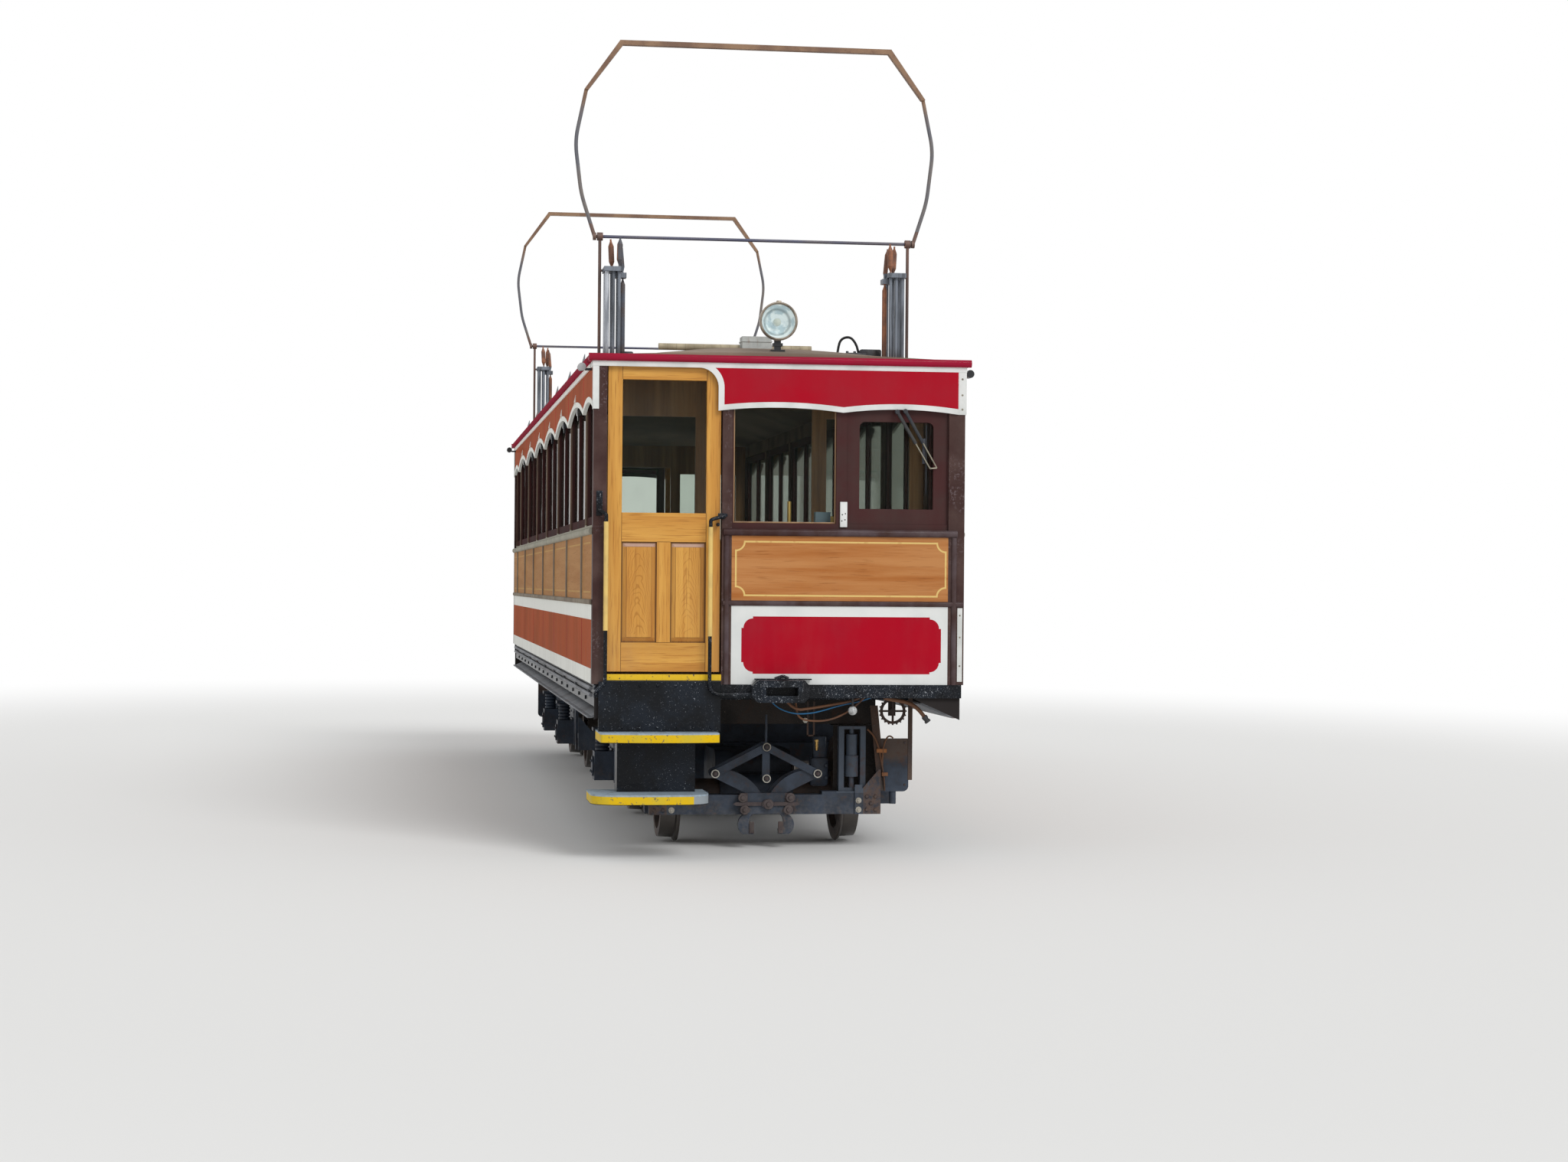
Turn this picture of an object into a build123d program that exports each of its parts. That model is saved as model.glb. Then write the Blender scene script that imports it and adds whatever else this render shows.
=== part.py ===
from build123d import *
import math
import os

# Electric mountain tram with a wooden body on two four-wheeled bogies. Millimetres.
# +X runs towards the leading end, +Y to the left of it, +Z up. The origin is under the middle, at the flange tips.
# Both ends are alike: the far end is the near end turned half a turn about the upright axis.

# Body shell
body_length = 10600
body_width = 2210
wall = 78
sheet = 18
floor_top = 1075
floor_thick = 58
dado_z = 1480
dado_high = 31
belt_z = 1892
belt_high = 42
eaves_z = 2905
cornice_high = 44
cornice_out = 32
strip_high = 30
strip_thick = 8
crown_z = 3187
roof_skin = 34
roof_edge_drop = 8
seat_gap = 0.3
running = 0.05

half_length = body_length / 2
half_width = body_width / 2
floor_bottom = floor_top - floor_thick
inner_x = half_length - wall
inner_y = half_width - wall
belt_top = belt_z + belt_high

# Side wall: posts at the bay lines, two sashes in each full bay
bay = 1467
bays = 6
post = 90
sash_rail = 52
sash_thick = 34
sash_sill = 1952
sash_head = 2800
sash_back = 8
glass_thick = 6
arch_foot = 2640
arch_crown = 2728
edging = 32
edging_proud = 4
seam = 1.5
post_lines = [bay * (i - bays / 2) for i in range(bays + 1)]

# End wall: door at the -Y side of the leading end, then a post, the drop light and the hinged sash
left_post = 78
right_post = 97
door_left = -half_width + left_post
door_right = -346
door_post = 58
window_edge = half_width - right_post

# Door
door_thick = 45
door_back = 24
door_gap = 8
door_foot = 1090
door_head = 2880
door_light = (2021, 2801)
stile = 84
lock_rail = 170
muntin = 80
panel_sink = 12
field_margin = 8
field_slope = 24
field_rise = 9
hinge_r = 9
hinge_pin_r = 5
door_face = half_length - door_back

# Running gear
rail_drop = 25
wheel_r = 305
gauge = 1067
flange_thick = 28
tread_wide = 92
wheelbase = 2080
bogie_back = 2100
axle_r = 60
journal_r = 45
journal_end = 845
frame_y = 705
frame_plate = 24
frame_low = 430
frame_top = 600
beam_clear = 60
beam_x = wheelbase / 2 + wheel_r + rail_drop + beam_clear
beam_deep = 100
beam_half = 712
beam_low = 205
beam_high = 324
transom_x = 240
transom_wide = 80
pivot_r = 60
bolster_top = 799.5
bolster_wide = 410
bolster_under = 15
turntable_r = 200
turntable_high = 120
bogie_x = half_length - bogie_back
axle_z = rail_drop + wheel_r

# Bow collectors
bow_back = 1264
pivot_z = 3790
bow_foot = 985
bow_bulge = 1146
bow_shoulder = 1078
bow_corner = 856
bulge_z = 4330
shoulder_z = 4715
bow_top = 5030
bow_tube_r = 12
shaft_r = 10
bow_x = half_length - bow_back


def block(x, y, z):
    """A box between low and high values of x, y and z."""
    size = [high - low for low, high in (x, y, z)]
    middle = [(high + low) / 2 for low, high in (x, y, z)]
    return Pos(*middle) * Box(*size)


def rod(start, end, radius):
    """A round bar between two points."""
    run = Vector(*end) - Vector(*start)
    return Plane(origin=start, z_dir=run) * extrude(Circle(radius), run.length)


def disc_x(place, thick, radius):
    """A disc facing along x, its low face at a place."""
    x, y, z = place
    return rod((x, y, z), (x + thick, y, z), radius)


def side_plate(face, y_low, y_high):
    """A flat shape drawn in x and z, as thick as the gap between two y values."""
    return Pos(0, y_high, 0) * (Plane.XZ * extrude(face, y_high - y_low))


def end_plate(face, x_low, x_high):
    """A flat shape drawn in y and z, as thick as the gap between two x values."""
    return Pos(x_low, 0, 0) * (Plane.YZ * extrude(face, x_high - x_low))


def outline(points):
    return make_face(Polyline(*points, close=True))


def swept(points, radii, radius):
    """A round bar along straight runs joined by arcs."""
    path = FilletPolyline(*points, radius=radii)
    start = Plane(origin=path @ 0, z_dir=path % 0)
    return sweep(start * Circle(radius), path=path)


def half_turn(shape):
    return Rot(0, 0, 180) * shape


def both_ends(*shapes):
    return list(shapes) + [half_turn(shape) for shape in shapes]


def both_sides(*shapes):
    return list(shapes) + [mirror(shape, about=Plane.XZ) for shape in shapes]


def all_corners(*shapes):
    return both_ends(*both_sides(*shapes))


def save(name, solids):
    export_step(Compound(children=list(solids)), f"parts/{name}.step")


# Underframe

solebar_low = 880
solebar_deep = 84
solebar_y = 1080
solebar_web = 20
solebar_flange = 16
headstock_low = 938
headstock_face = 22
headstock_proud = 6
headstock_reach = 12
bearer_low = 900
bearer_wide = 90
bearer_pitch = 840
bearer_count = 6
end_bearer_back = 700
bolster_low = 800
bolster_half = 150
bolster_reach = 720
pivot_long = 120


def solebars():
    bar = block((-inner_x, inner_x), (solebar_y - solebar_deep, solebar_y), (solebar_low, floor_bottom))
    hollow = block(
        (-inner_x, inner_x),
        (solebar_y - solebar_deep, solebar_y - solebar_web),
        (solebar_low + solebar_flange, floor_bottom - solebar_flange),
    )
    return both_sides(bar - hollow)


def headstocks():
    reach = solebar_y + headstock_reach
    seat = half_length + headstock_proud - headstock_face
    beam = block((inner_x, seat), (-reach, reach), (headstock_low, floor_bottom))
    face = block((seat, half_length + headstock_proud), (door_right, reach), (headstock_low, floor_bottom))
    return both_ends(beam + face)


def cross_bearers():
    reach = solebar_y - solebar_deep
    ends = [half_length - end_bearer_back, end_bearer_back - half_length]
    lines = [bearer_pitch * (i - (bearer_count - 1) / 2) for i in range(bearer_count)] + ends
    return [
        block((x - bearer_wide / 2, x + bearer_wide / 2), (-reach, reach), (bearer_low, floor_bottom))
        for x in lines
    ]


def body_bolsters():
    """Cross members over the bogies, deep between the solebars, each with the pin that the bogie turns on."""
    reach = solebar_y - solebar_deep
    near, far = bogie_x - bolster_half, bogie_x + bolster_half
    wings = block((near, far), (-reach, reach), (bearer_low, floor_bottom))
    beam = block((near, far), (-bolster_reach, bolster_reach), (bolster_low, floor_bottom))
    pin = Pos(bogie_x, 0, bolster_low - pivot_long / 2) * Cylinder(pivot_r, pivot_long)
    return both_ends(wings + beam + pin)


def floor():
    """Floor boards with the door sill at each end."""
    boards = block((-inner_x, inner_x), (-inner_y, inner_y), (floor_bottom, floor_top))
    sill = block((inner_x, half_length + headstock_proud), (door_left, door_right), (floor_bottom, floor_top))
    return [boards + sill + half_turn(sill)]


# Side walls

bead_wide = 42
bead_thick = 10
dado_out = 12
belt_out = 20


def bay_edges():
    """Low and high x of each panel along a side: a short one, the full bays, and a short one."""
    lines = [-inner_x] + post_lines + [inner_x]
    return list(zip(lines[:-1], lines[1:]))


def side_panels(z_low, z_high):
    return both_sides(*[
        block((low + seam / 2, high - seam / 2), (inner_y, half_width), (z_low, z_high))
        for low, high in bay_edges()
    ])


def long_moulding(z_low, z_high, out):
    """A moulding along the side, rounded on its outer edges."""
    rail = block((-inner_x, inner_x), (inner_y, half_width + out), (z_low, z_high))
    return fillet(rail.edges().filter_by(Axis.X).group_by(Axis.Y)[-1], 0.9 * out)


def side_rails():
    """Dado and belt mouldings along each side, with the upright beads that cover the panel joints."""
    dado = long_moulding(dado_z, dado_z + dado_high, dado_out)
    belt = long_moulding(belt_z, belt_top, belt_out)
    beads = [
        block((x - bead_wide / 2, x + bead_wide / 2), (half_width, half_width + bead_thick), (dado_z + dado_high, belt_z))
        for x in post_lines
    ]
    return both_sides(dado + belt + beads)


def window_bays():
    """Low and high x of each opening between the posts."""
    gaps = []
    for low, high in bay_edges():
        start = low + (post / 2 if low > -inner_x else post / 3)
        end = high - (post / 2 if high < inner_x else post / 3)
        gaps.append((start, end))
    return gaps


def side_frames():
    """Posts, sill and cant rail of one side in one piece, with the window openings cut."""
    out = half_width - sheet
    wall_band = block((-inner_x, inner_x), (inner_y, out), (belt_top, eaves_z))
    for low, high in window_bays():
        wall_band -= block((low, high), (inner_y, out), (sash_sill, sash_head))
    return both_sides(wall_band)


def sash_openings(low, high):
    """Glass openings of one bay: two in a full bay, one in a short one."""
    left, right = low + sash_rail, high - sash_rail
    if high - low < bay * 0.8:
        return [(left, right)]
    middle = (low + high) / 2
    return [(left, middle - sash_rail / 2), (middle + sash_rail / 2, right)]


def side_sashes():
    out = half_width - sheet - sash_back
    sashes = []
    for low, high in window_bays():
        sash = block((low, high), (out - sash_thick, out), (sash_sill, sash_head))
        for start, end in sash_openings(low, high):
            sash -= block((start, end), (out - sash_thick, out), (sash_sill + sash_rail, sash_head - sash_rail))
        sashes.append(sash)
    return both_sides(*sashes)


def side_glass():
    middle = half_width - sheet - sash_back - sash_thick / 2
    panes = []
    for low, high in window_bays():
        for start, end in sash_openings(low, high):
            panes.append(block(
                (start, end),
                (middle - glass_thick / 2, middle + glass_thick / 2),
                (sash_sill + sash_rail, sash_head - sash_rail),
            ))
    return both_sides(*panes)


def arch_line(lift):
    """The scalloped lower edge of a side letterboard, raised by lift."""
    arcs = []
    for low, high in bay_edges():
        middle = (low + high) / 2
        rise = (arch_crown - arch_foot) * min(1, (high - low) / bay)
        arcs.append(ThreePointArc(
            (low, arch_foot + lift), (middle, arch_foot + rise + lift), (high, arch_foot + lift)
        ))
    return arcs


def side_letterboards():
    top = eaves_z - strip_high
    foot = arch_foot + edging
    closing = Polyline((inner_x, foot), (inner_x, top), (-inner_x, top), (-inner_x, foot))
    board = make_face(arch_line(edging) + [closing])
    return both_sides(side_plate(board, half_width - sheet, half_width))


def side_edging():
    """White scalloped edge under each letterboard."""
    ends = [Line((x, arch_foot), (x, arch_foot + edging)) for x in (-inner_x, inner_x)]
    band = make_face(arch_line(0) + arch_line(edging) + ends)
    return both_sides(side_plate(band, half_width - sheet, half_width + edging_proud))


# End walls

bead_r = 16
bead_places = (-318, 1043)
end_dado_out = 14
end_belt_out = 24
dado_span = (-340, 1098)
belt_span = (-340, 1060)
corner_strip = (1066, 1096)
corner_strip_thick = 3


def end_span():
    return (door_right + door_post, window_edge)


def corner_posts():
    left = block((inner_x, half_length), (-half_width, door_left), (floor_bottom, eaves_z))
    right = block((inner_x, half_length), (window_edge, half_width), (floor_bottom, eaves_z))
    return both_ends(left, right)


def door_posts():
    return both_ends(block(
        (inner_x, half_length), (door_right, door_right + door_post), (floor_bottom, eaves_z)
    ))


def door_headers():
    return both_ends(block(
        (inner_x, half_length - sheet), (door_left, door_right), (door_head + 5, eaves_z)
    ))


def end_panels(z_low, z_high):
    return both_ends(block((inner_x, half_length), end_span(), (z_low, z_high)))


def end_rail(z_low, z_high, out, reach):
    """A moulding across the end wall: its root lies between the panels, its nose runs over the posts."""
    root = block((inner_x, half_length), end_span(), (z_low, z_high))
    nose = block((half_length, half_length + out), reach, (z_low, z_high))
    nose = fillet(nose.edges().filter_by(Axis.Y).group_by(Axis.X)[-1], min(0.9 * out, 0.45 * (z_high - z_low)))
    return root + nose


def end_bead(y):
    """Upright half-round bead on the face of the end wall, from the floor to the belt."""
    height = belt_z - floor_bottom
    bar = Pos(half_length, y, floor_bottom + height / 2) * Cylinder(bead_r, height)
    return bar - block((inner_x, half_length), (y - wall, y + wall), (floor_bottom, belt_z))


def end_rails():
    """Dado and belt mouldings of an end wall, with the two beads between them."""
    rails = end_rail(dado_z, dado_z + dado_high, end_dado_out, dado_span)
    rails += end_rail(belt_z, belt_top, end_belt_out, belt_span)
    for y in bead_places:
        rails += end_bead(y)
    return both_ends(rails)


light_foot = 1968
light_head = 2720
light_span = (-279, 334)
sash_span = (396, 1001)
sash_light = (473, 918)
sash_light_z = (2059, 2575)
sash_corner_r = 34
end_sash_back = 6
end_pane_back = 26


def window_shape(span, z, corner_r):
    """A window opening whose upper corners are rounded."""
    width, height = span[1] - span[0], z[1] - z[0]
    shape = Pos((span[0] + span[1]) / 2, (z[0] + z[1]) / 2) * Rectangle(width, height)
    return fillet(shape.vertices().group_by(Axis.Y)[-1], corner_r)


def end_window_frames():
    """Window band of an end wall with its two openings."""
    low, high = end_span()
    band = block((inner_x, half_length - sheet), (low, high), (belt_top, eaves_z))
    for span in (light_span, sash_span):
        band -= block((inner_x, half_length), span, (light_foot, light_head))
    return both_ends(band)


def end_sashes():
    """Hinged sash beside the drop light."""
    face = half_length - sheet - end_sash_back
    low, high = sash_span
    leaf = block(
        (face - sash_thick, face), (low + seat_gap, high - seat_gap), (light_foot + seat_gap, light_head - seat_gap)
    )
    return both_ends(leaf - end_plate(window_shape(sash_light, sash_light_z, sash_corner_r), inner_x, half_length))


def end_glass():
    middle = half_length - sheet - end_pane_back
    depth = (middle - glass_thick / 2, middle + glass_thick / 2)
    sash_pane = end_plate(window_shape(sash_light, sash_light_z, sash_corner_r), *depth)
    return both_ends(block(depth, light_span, (light_foot, light_head)), sash_pane)


angle_wide = 44
valance_foot = 2624
valance_rise = 24
valance_left = -374
valance_thick = 10
scallop_cusp = 370
curl_r = 115
curl_strip = 34


def valance_outline(lift):
    """The board over the end windows: scalloped foot raised by lift, rounded off towards the door."""
    right = half_width - angle_wide - seat_gap
    top = eaves_z - strip_high
    foot = valance_foot + lift
    crest = foot + valance_rise
    curl_y, curl_z = valance_left - curl_r, top - curl_r
    slant = curl_r * math.sin(math.pi / 4)
    return make_face([
        ThreePointArc((valance_left, foot), ((valance_left + scallop_cusp) / 2, crest), (scallop_cusp, foot)),
        ThreePointArc((scallop_cusp, foot), ((scallop_cusp + right) / 2, crest), (right, foot)),
        Polyline((right, foot), (right, top), (curl_y, top)),
        ThreePointArc((curl_y, top), (curl_y + slant, curl_z + slant), (valance_left, curl_z)),
        Line((valance_left, curl_z), (valance_left, foot)),
    ])


def red_valance():
    """The part of the valance inside its white strip and edging."""
    curl_z = eaves_z - strip_high - curl_r
    upright = Pos(valance_left + curl_strip / 2, (valance_foot + curl_z) / 2)
    strip = upright * Rectangle(curl_strip, curl_z - valance_foot)
    curl = Pos(valance_left - curl_r, curl_z) * Circle(curl_r + curl_strip)
    return valance_outline(edging) - strip - curl


def end_valances():
    return both_ends(end_plate(red_valance(), half_length, half_length + valance_thick))


def end_edging():
    """White edge of the end valance: scallops, the strip beside the door and its curl."""
    white = valance_outline(0) - red_valance()
    return both_ends(end_plate(white, half_length, half_length + valance_thick + edging_proud))


angle_thick = 6
left_angle_wide = 30


def corner_strips():
    """White angle strips on the corners beside the letterboards, and the flat one low on the right."""
    foot = valance_foot
    top = eaves_z - strip_high
    depth = (half_length - angle_wide, half_length + angle_thick)
    left = block(depth, (-half_width - angle_thick, -half_width + left_angle_wide), (foot, top))
    right = block(depth, (half_width - angle_wide, half_width + angle_thick), (foot, top))
    core = block((0, half_length), (-half_width, half_width), (foot, top))
    low = block(
        (half_length, half_length + corner_strip_thick), corner_strip, (floor_bottom + 20, dado_z - angle_thick)
    )
    return both_ends(left - core, right - core, low)


# Doors

def fielded_panel(x, side, y, z):
    """Raised field with sloping margins, standing on a sunk panel that faces the given side."""
    sections = []
    for margin, rise in ((field_margin, -1), (field_margin + field_slope, field_rise)):
        width = y[1] - y[0] - 2 * margin
        height = z[1] - z[0] - 2 * margin
        shape = Pos((y[0] + y[1]) / 2, (z[0] + z[1]) / 2) * Rectangle(width, height)
        sections.append(Pos(x + side * rise, 0, 0) * (Plane.YZ * shape))
    return loft(sections, ruled=True)


def door():
    """Leading-end door, hinged at its outer edge, with an open light and two fielded panels."""
    left, right = door_left + door_gap, door_right - door_gap
    inside = door_face - door_thick
    leaf = block((inside, door_face), (left, right), (door_foot, door_head))
    leaf -= block((inside, door_face), (left + stile, right - stile), door_light)
    middle = (left + right) / 2
    z = (door_foot + lock_rail, door_light[0] - lock_rail)
    for y in ((left + stile, middle - muntin / 2), (middle + muntin / 2, right - stile)):
        leaf -= block((door_face - panel_sink, door_face), y, z)
        leaf -= block((inside, inside + panel_sink), y, z)
        leaf += fielded_panel(door_face - panel_sink, 1, y, z)
        leaf += fielded_panel(inside + panel_sink, -1, y, z)
    return leaf


hinge_back = 12
hinge_in = 10
hinge_x = door_face - door_thick - hinge_back
hinge_y = door_left + hinge_in
hinge_heights = [1300, 1950, 2650]
knuckle = 60
hinge_leaf = 70
hinge_leaf_thick = 5
end_knuckle = 24


def door_knuckle(z):
    """Middle knuckle of a hinge with its leaf on the back of the door."""
    inside = door_face - door_thick
    barrel = Pos(hinge_x, hinge_y, z) * Cylinder(hinge_r, knuckle)
    arm = block((hinge_x, inside), (hinge_y, hinge_y + hinge_r / 2), (z - knuckle / 2, z + knuckle / 2))
    leaf = block(
        (inside - hinge_leaf_thick, inside), (hinge_y, hinge_y + hinge_leaf), (z - knuckle / 2, z + knuckle / 2)
    )
    bore = Pos(hinge_x, hinge_y, z) * Cylinder(hinge_pin_r + running, knuckle + 2)
    return barrel + arm + leaf - bore


def door_leaf():
    leaf = door()
    for z in hinge_heights:
        leaf += door_knuckle(z)
    return leaf


def door_glass():
    left, right = door_left + door_gap, door_right - door_gap
    middle = door_face - door_thick / 2
    return block(
        (middle - glass_thick / 2, middle + glass_thick / 2), (left + stile, right - stile), door_light
    )


def door_hinges():
    """Pins with their fixed knuckles and leaves on the corner posts."""
    hinges = []
    reach = knuckle / 2 + 1 + end_knuckle / 2
    for z in hinge_heights:
        fixed = Pos(hinge_x, hinge_y, z) * Cylinder(hinge_pin_r, 2 * reach)
        for mid in (z - reach, z + reach):
            fixed += Pos(hinge_x, hinge_y, mid) * Cylinder(hinge_r, end_knuckle)
            fixed += block(
                (hinge_x - 3, hinge_x + hinge_leaf / 2),
                (door_left, door_left + hinge_leaf_thick),
                (mid - end_knuckle / 2, mid + end_knuckle / 2),
            )
        hinges.append(fixed)
    return both_ends(*hinges)


# Cornice and roof

def eaves_lengths(out, z_low, z_high, rounding):
    """Four lengths around the eaves: the end ones run over the ends of the side ones."""
    side = block((-half_length, half_length), (half_width, half_width + out), (z_low, z_high))
    end = block(
        (half_length + seat_gap, half_length + out + seat_gap), (-half_width - out, half_width + out), (z_low, z_high)
    )
    if rounding:
        side = fillet(side.edges().filter_by(Axis.X).group_by(Axis.Y)[-1], rounding)
        end = fillet(end.edges().filter_by(Axis.Y).group_by(Axis.X)[-1], rounding)
    return both_sides(side) + both_ends(end)


def cornice():
    return eaves_lengths(cornice_out, eaves_z, eaves_z + cornice_high, cornice_high * 0.45)


def cornice_strip():
    return eaves_lengths(strip_thick, eaves_z - strip_high, eaves_z, 0)


# Roof sections: distance back from the end wall and height of the crown
roof_falls = [
    (2200, crown_z),
    (1300, crown_z - 79),
    (500, crown_z - 149),
    (0, crown_z - 217),
]
roof_sections = [(half_length - back, crown) for back, crown in roof_falls]
roof_edge = eaves_z + cornice_high - roof_edge_drop
roof_lining = 60


def roof_section(x, crown, inset):
    """Arched section across the roof; an inset makes the section of the space under the boards."""
    reach = half_width - inset
    edge = roof_edge - 0.6 * inset
    low = eaves_z - (1 if inset else 0)
    top = crown - (roof_skin if inset else 0)
    arch = ThreePointArc((-reach, edge), (0, top), (reach, edge))
    base = Polyline((reach, edge), (reach, low), (-reach, low), (-reach, edge))
    return Pos(x, 0, 0) * (Plane.YZ * make_face([arch, base]))


def roof_body(inset):
    stations = [(-x, z) for x, z in reversed(roof_sections)] + list(roof_sections)
    if inset:
        stations[0] = (stations[0][0] + inset, stations[0][1])
        stations[-1] = (stations[-1][0] - inset, stations[-1][1])
    return loft([roof_section(x, z, inset) for x, z in stations], ruled=True)


def roof():
    return [roof_body(0) - roof_body(roof_lining)]


def crown_at(x):
    """Height of the middle of the roof at a distance from the middle of the car."""
    x = abs(x)
    crown = roof_sections[0][1]
    for (x0, z0), (x1, z1) in zip(roof_sections[:-1], roof_sections[1:]):
        if x > x0:
            crown = z0 + (z1 - z0) * (x - x0) / (x1 - x0)
    return crown


def roof_height(x, y):
    """Height of the outer roof surface at a place, from the section arcs."""
    crown = crown_at(x)
    rise = crown - roof_edge
    radius = (half_width ** 2 + rise ** 2) / (2 * rise)
    return crown - radius + math.sqrt(radius ** 2 - y ** 2)


def on_roof(piece):
    """Trims a piece so that it sits just on the roof surface."""
    return piece - Pos(0, 0, seat_gap) * roof_body(0)


# Inside

bulkhead_back = 900
bulkhead_thick = 30
doorway_half = 320
doorway_head = 2700
bulkhead_stile = 90
bulkhead_light = (1980, 2640)
bulkhead_x = half_length - bulkhead_back


def bulkheads():
    """Screens each side of the doorway to the saloon, with a header between them."""
    depth = (bulkhead_x - bulkhead_thick / 2, bulkhead_x + bulkhead_thick / 2)
    screen = block(depth, (doorway_half, inner_y), (floor_top, eaves_z))
    screen -= block(depth, (doorway_half + bulkhead_stile, inner_y - bulkhead_stile), bulkhead_light)
    header = block(depth, (seat_gap - doorway_half, doorway_half - seat_gap), (doorway_head, eaves_z))
    return all_corners(screen) + both_ends(header)


def bulkhead_glass():
    depth = (bulkhead_x - glass_thick / 2, bulkhead_x + glass_thick / 2)
    return all_corners(block(depth, (doorway_half + bulkhead_stile, inner_y - bulkhead_stile), bulkhead_light))


seat_end = 320
seat_aisle = 300
seat_wall_gap = 6
seat_deep = 400
seat_height = 425
seat_pad = 60
seat_back = 470
seat_back_thick = 40
seat_rail = 24
seat_leg = 30
seat_leg_long = 300
seat_pad_round = 20
slat_gap = 26
slat_count = 5
seat_width = (seat_aisle, inner_y - seat_wall_gap)
seat_pitch = bay / 2
seat_rows = 2 * int((bulkhead_x - seat_end) / seat_pitch + 0.5)


def seat_lines():
    first = -seat_pitch * (seat_rows - 1) / 2
    return [first + i * seat_pitch for i in range(seat_rows)]


def seat_cushions():
    top = floor_top + seat_height
    pads = []
    for x in seat_lines():
        depth = (x - seat_deep / 2, x + seat_deep / 2 - seat_back_thick - seat_wall_gap)
        pad = block(depth, seat_width, (top - seat_pad, top))
        pads.append(fillet(pad.edges().filter_by(Axis.Y).group_by(Axis.Z)[-1], seat_pad_round))
    return both_sides(*pads)


def seat_frames():
    """A leg at the aisle and the rail under the pad, for each double seat."""
    top = floor_top + seat_height - seat_pad
    low, high = seat_width
    frames = []
    for x in seat_lines():
        leg = block(
            (x - seat_leg_long / 2, x + seat_leg_long / 2), (low + seat_leg, low + 2 * seat_leg), (floor_top, top)
        )
        rail = block((x - seat_deep / 2, x + seat_deep / 2), (low, high), (top - seat_rail, top))
        frames.append(leg + rail)
    return both_sides(*frames)


def seat_backs():
    """Slatted back of each double seat, as one frame with long slots."""
    low_z = floor_top + seat_height - seat_pad + seat_gap
    high_z = floor_top + seat_height + seat_back
    low, high = seat_width
    rail = 50
    pitch = (high_z - low_z - rail) / slat_count
    backs = []
    for x in seat_lines():
        depth = (x + seat_deep / 2 - seat_back_thick, x + seat_deep / 2)
        back = block(depth, seat_width, (low_z, high_z))
        for i in range(1, slat_count):
            z = low_z + rail + i * pitch
            back -= block(depth, (low + rail, high - rail), (z - slat_gap, z))
        backs.append(back)
    return both_sides(*backs)


# Driving gear in each vestibule

controller_back = 30
controller_deep = 190
controller_low_y = 225
controller_wide = 220
controller_high = 860
brake_wheel_r = 105
brake_column_back = 190
brake_column_y = 90
brake_column_high = 800
spindle_high = 230


def controllers():
    """Controller case with its handle, and the small instrument box on top of it."""
    x_high = inner_x - controller_back
    x_mid = x_high - controller_deep / 2
    y_mid = controller_low_y + controller_wide / 2
    top = floor_top + controller_high
    case = block(
        (x_high - controller_deep, x_high),
        (controller_low_y, controller_low_y + controller_wide),
        (floor_top, top),
    )
    case = fillet(case.edges().filter_by(Axis.Z).group_by(Axis.X)[0], 70)
    box = block((x_mid, x_mid + 70), (controller_low_y + 4, controller_low_y + 94), (top, top + 105))
    handle = block((x_mid - 150, x_mid - 10), (y_mid + 10, y_mid + 34), (top, top + 22))
    knob = Pos(x_mid - 136, y_mid + 22, top + 50) * Cylinder(14, 70)
    return both_ends(case + box + handle + knob)


def brake_columns():
    """Hand brake standard: an upright column with a hand wheel and a brass spindle above it."""
    x, y = inner_x - brake_column_back, brake_column_y
    top = floor_top + brake_column_high
    column = Pos(x, y, floor_top + brake_column_high / 2) * Cylinder(28, brake_column_high)
    foot = Pos(x, y, floor_top + 10) * Cylinder(75, 20)
    rim = Pos(x, y, top) * Torus(brake_wheel_r, 11)
    spindle = Pos(x, y, top + spindle_high / 2) * Cylinder(12, spindle_high)
    wheel = rim + spindle + Pos(x, y, top) * Cylinder(34, 30)
    for turn in (30, 150, 270):
        spoke = Rot(0, 90, 0) * Cylinder(8, brake_wheel_r)
        wheel += Pos(x, y, top) * Rot(0, 0, turn) * Pos(brake_wheel_r / 2, 0, 0) * spoke
    return both_ends(column + foot + wheel)


# Couplers, steps and rails at each end

coupler_out = 130
coupler_half = 170
coupler_low = 915
coupler_top = 1046
coupler_chamfer = 55
coupler_round = 25
coupler_bevel = 34
coupler_slot_z = (955, 1005)
coupler_slot_half = 95
coupler_wall = 16
coupler_pin_r = 16
coupler_pin_out = 75


def couplers():
    """Coupling pockets with a slot for the drawbar and an upright pin hole through both lips."""
    face = half_length + headstock_proud
    nose = face + coupler_out
    shoulder = coupler_half - coupler_chamfer
    shape = outline([
        (face, -coupler_half), (nose - coupler_chamfer, -coupler_half), (nose, -shoulder),
        (nose, shoulder), (nose - coupler_chamfer, coupler_half), (face, coupler_half),
    ])
    body = Pos(0, 0, coupler_low) * extrude(shape, coupler_top - coupler_low)
    body = fillet(body.edges().filter_by(Axis.Z).group_by(Axis.X)[-1], coupler_round)
    front = Pos(0, (coupler_low + coupler_top) / 2) * Rectangle(2 * coupler_half, coupler_top - coupler_low)
    body &= end_plate(chamfer(front.vertices(), coupler_bevel), face, nose)
    body -= block((face + coupler_wall, nose + 1), (-coupler_slot_half, coupler_slot_half), coupler_slot_z)
    middle = (coupler_low + coupler_top) / 2
    body -= Pos(face + coupler_pin_out, 0, middle) * Cylinder(coupler_pin_r, 2 * (coupler_top - coupler_low))
    return both_ends(body)


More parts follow.
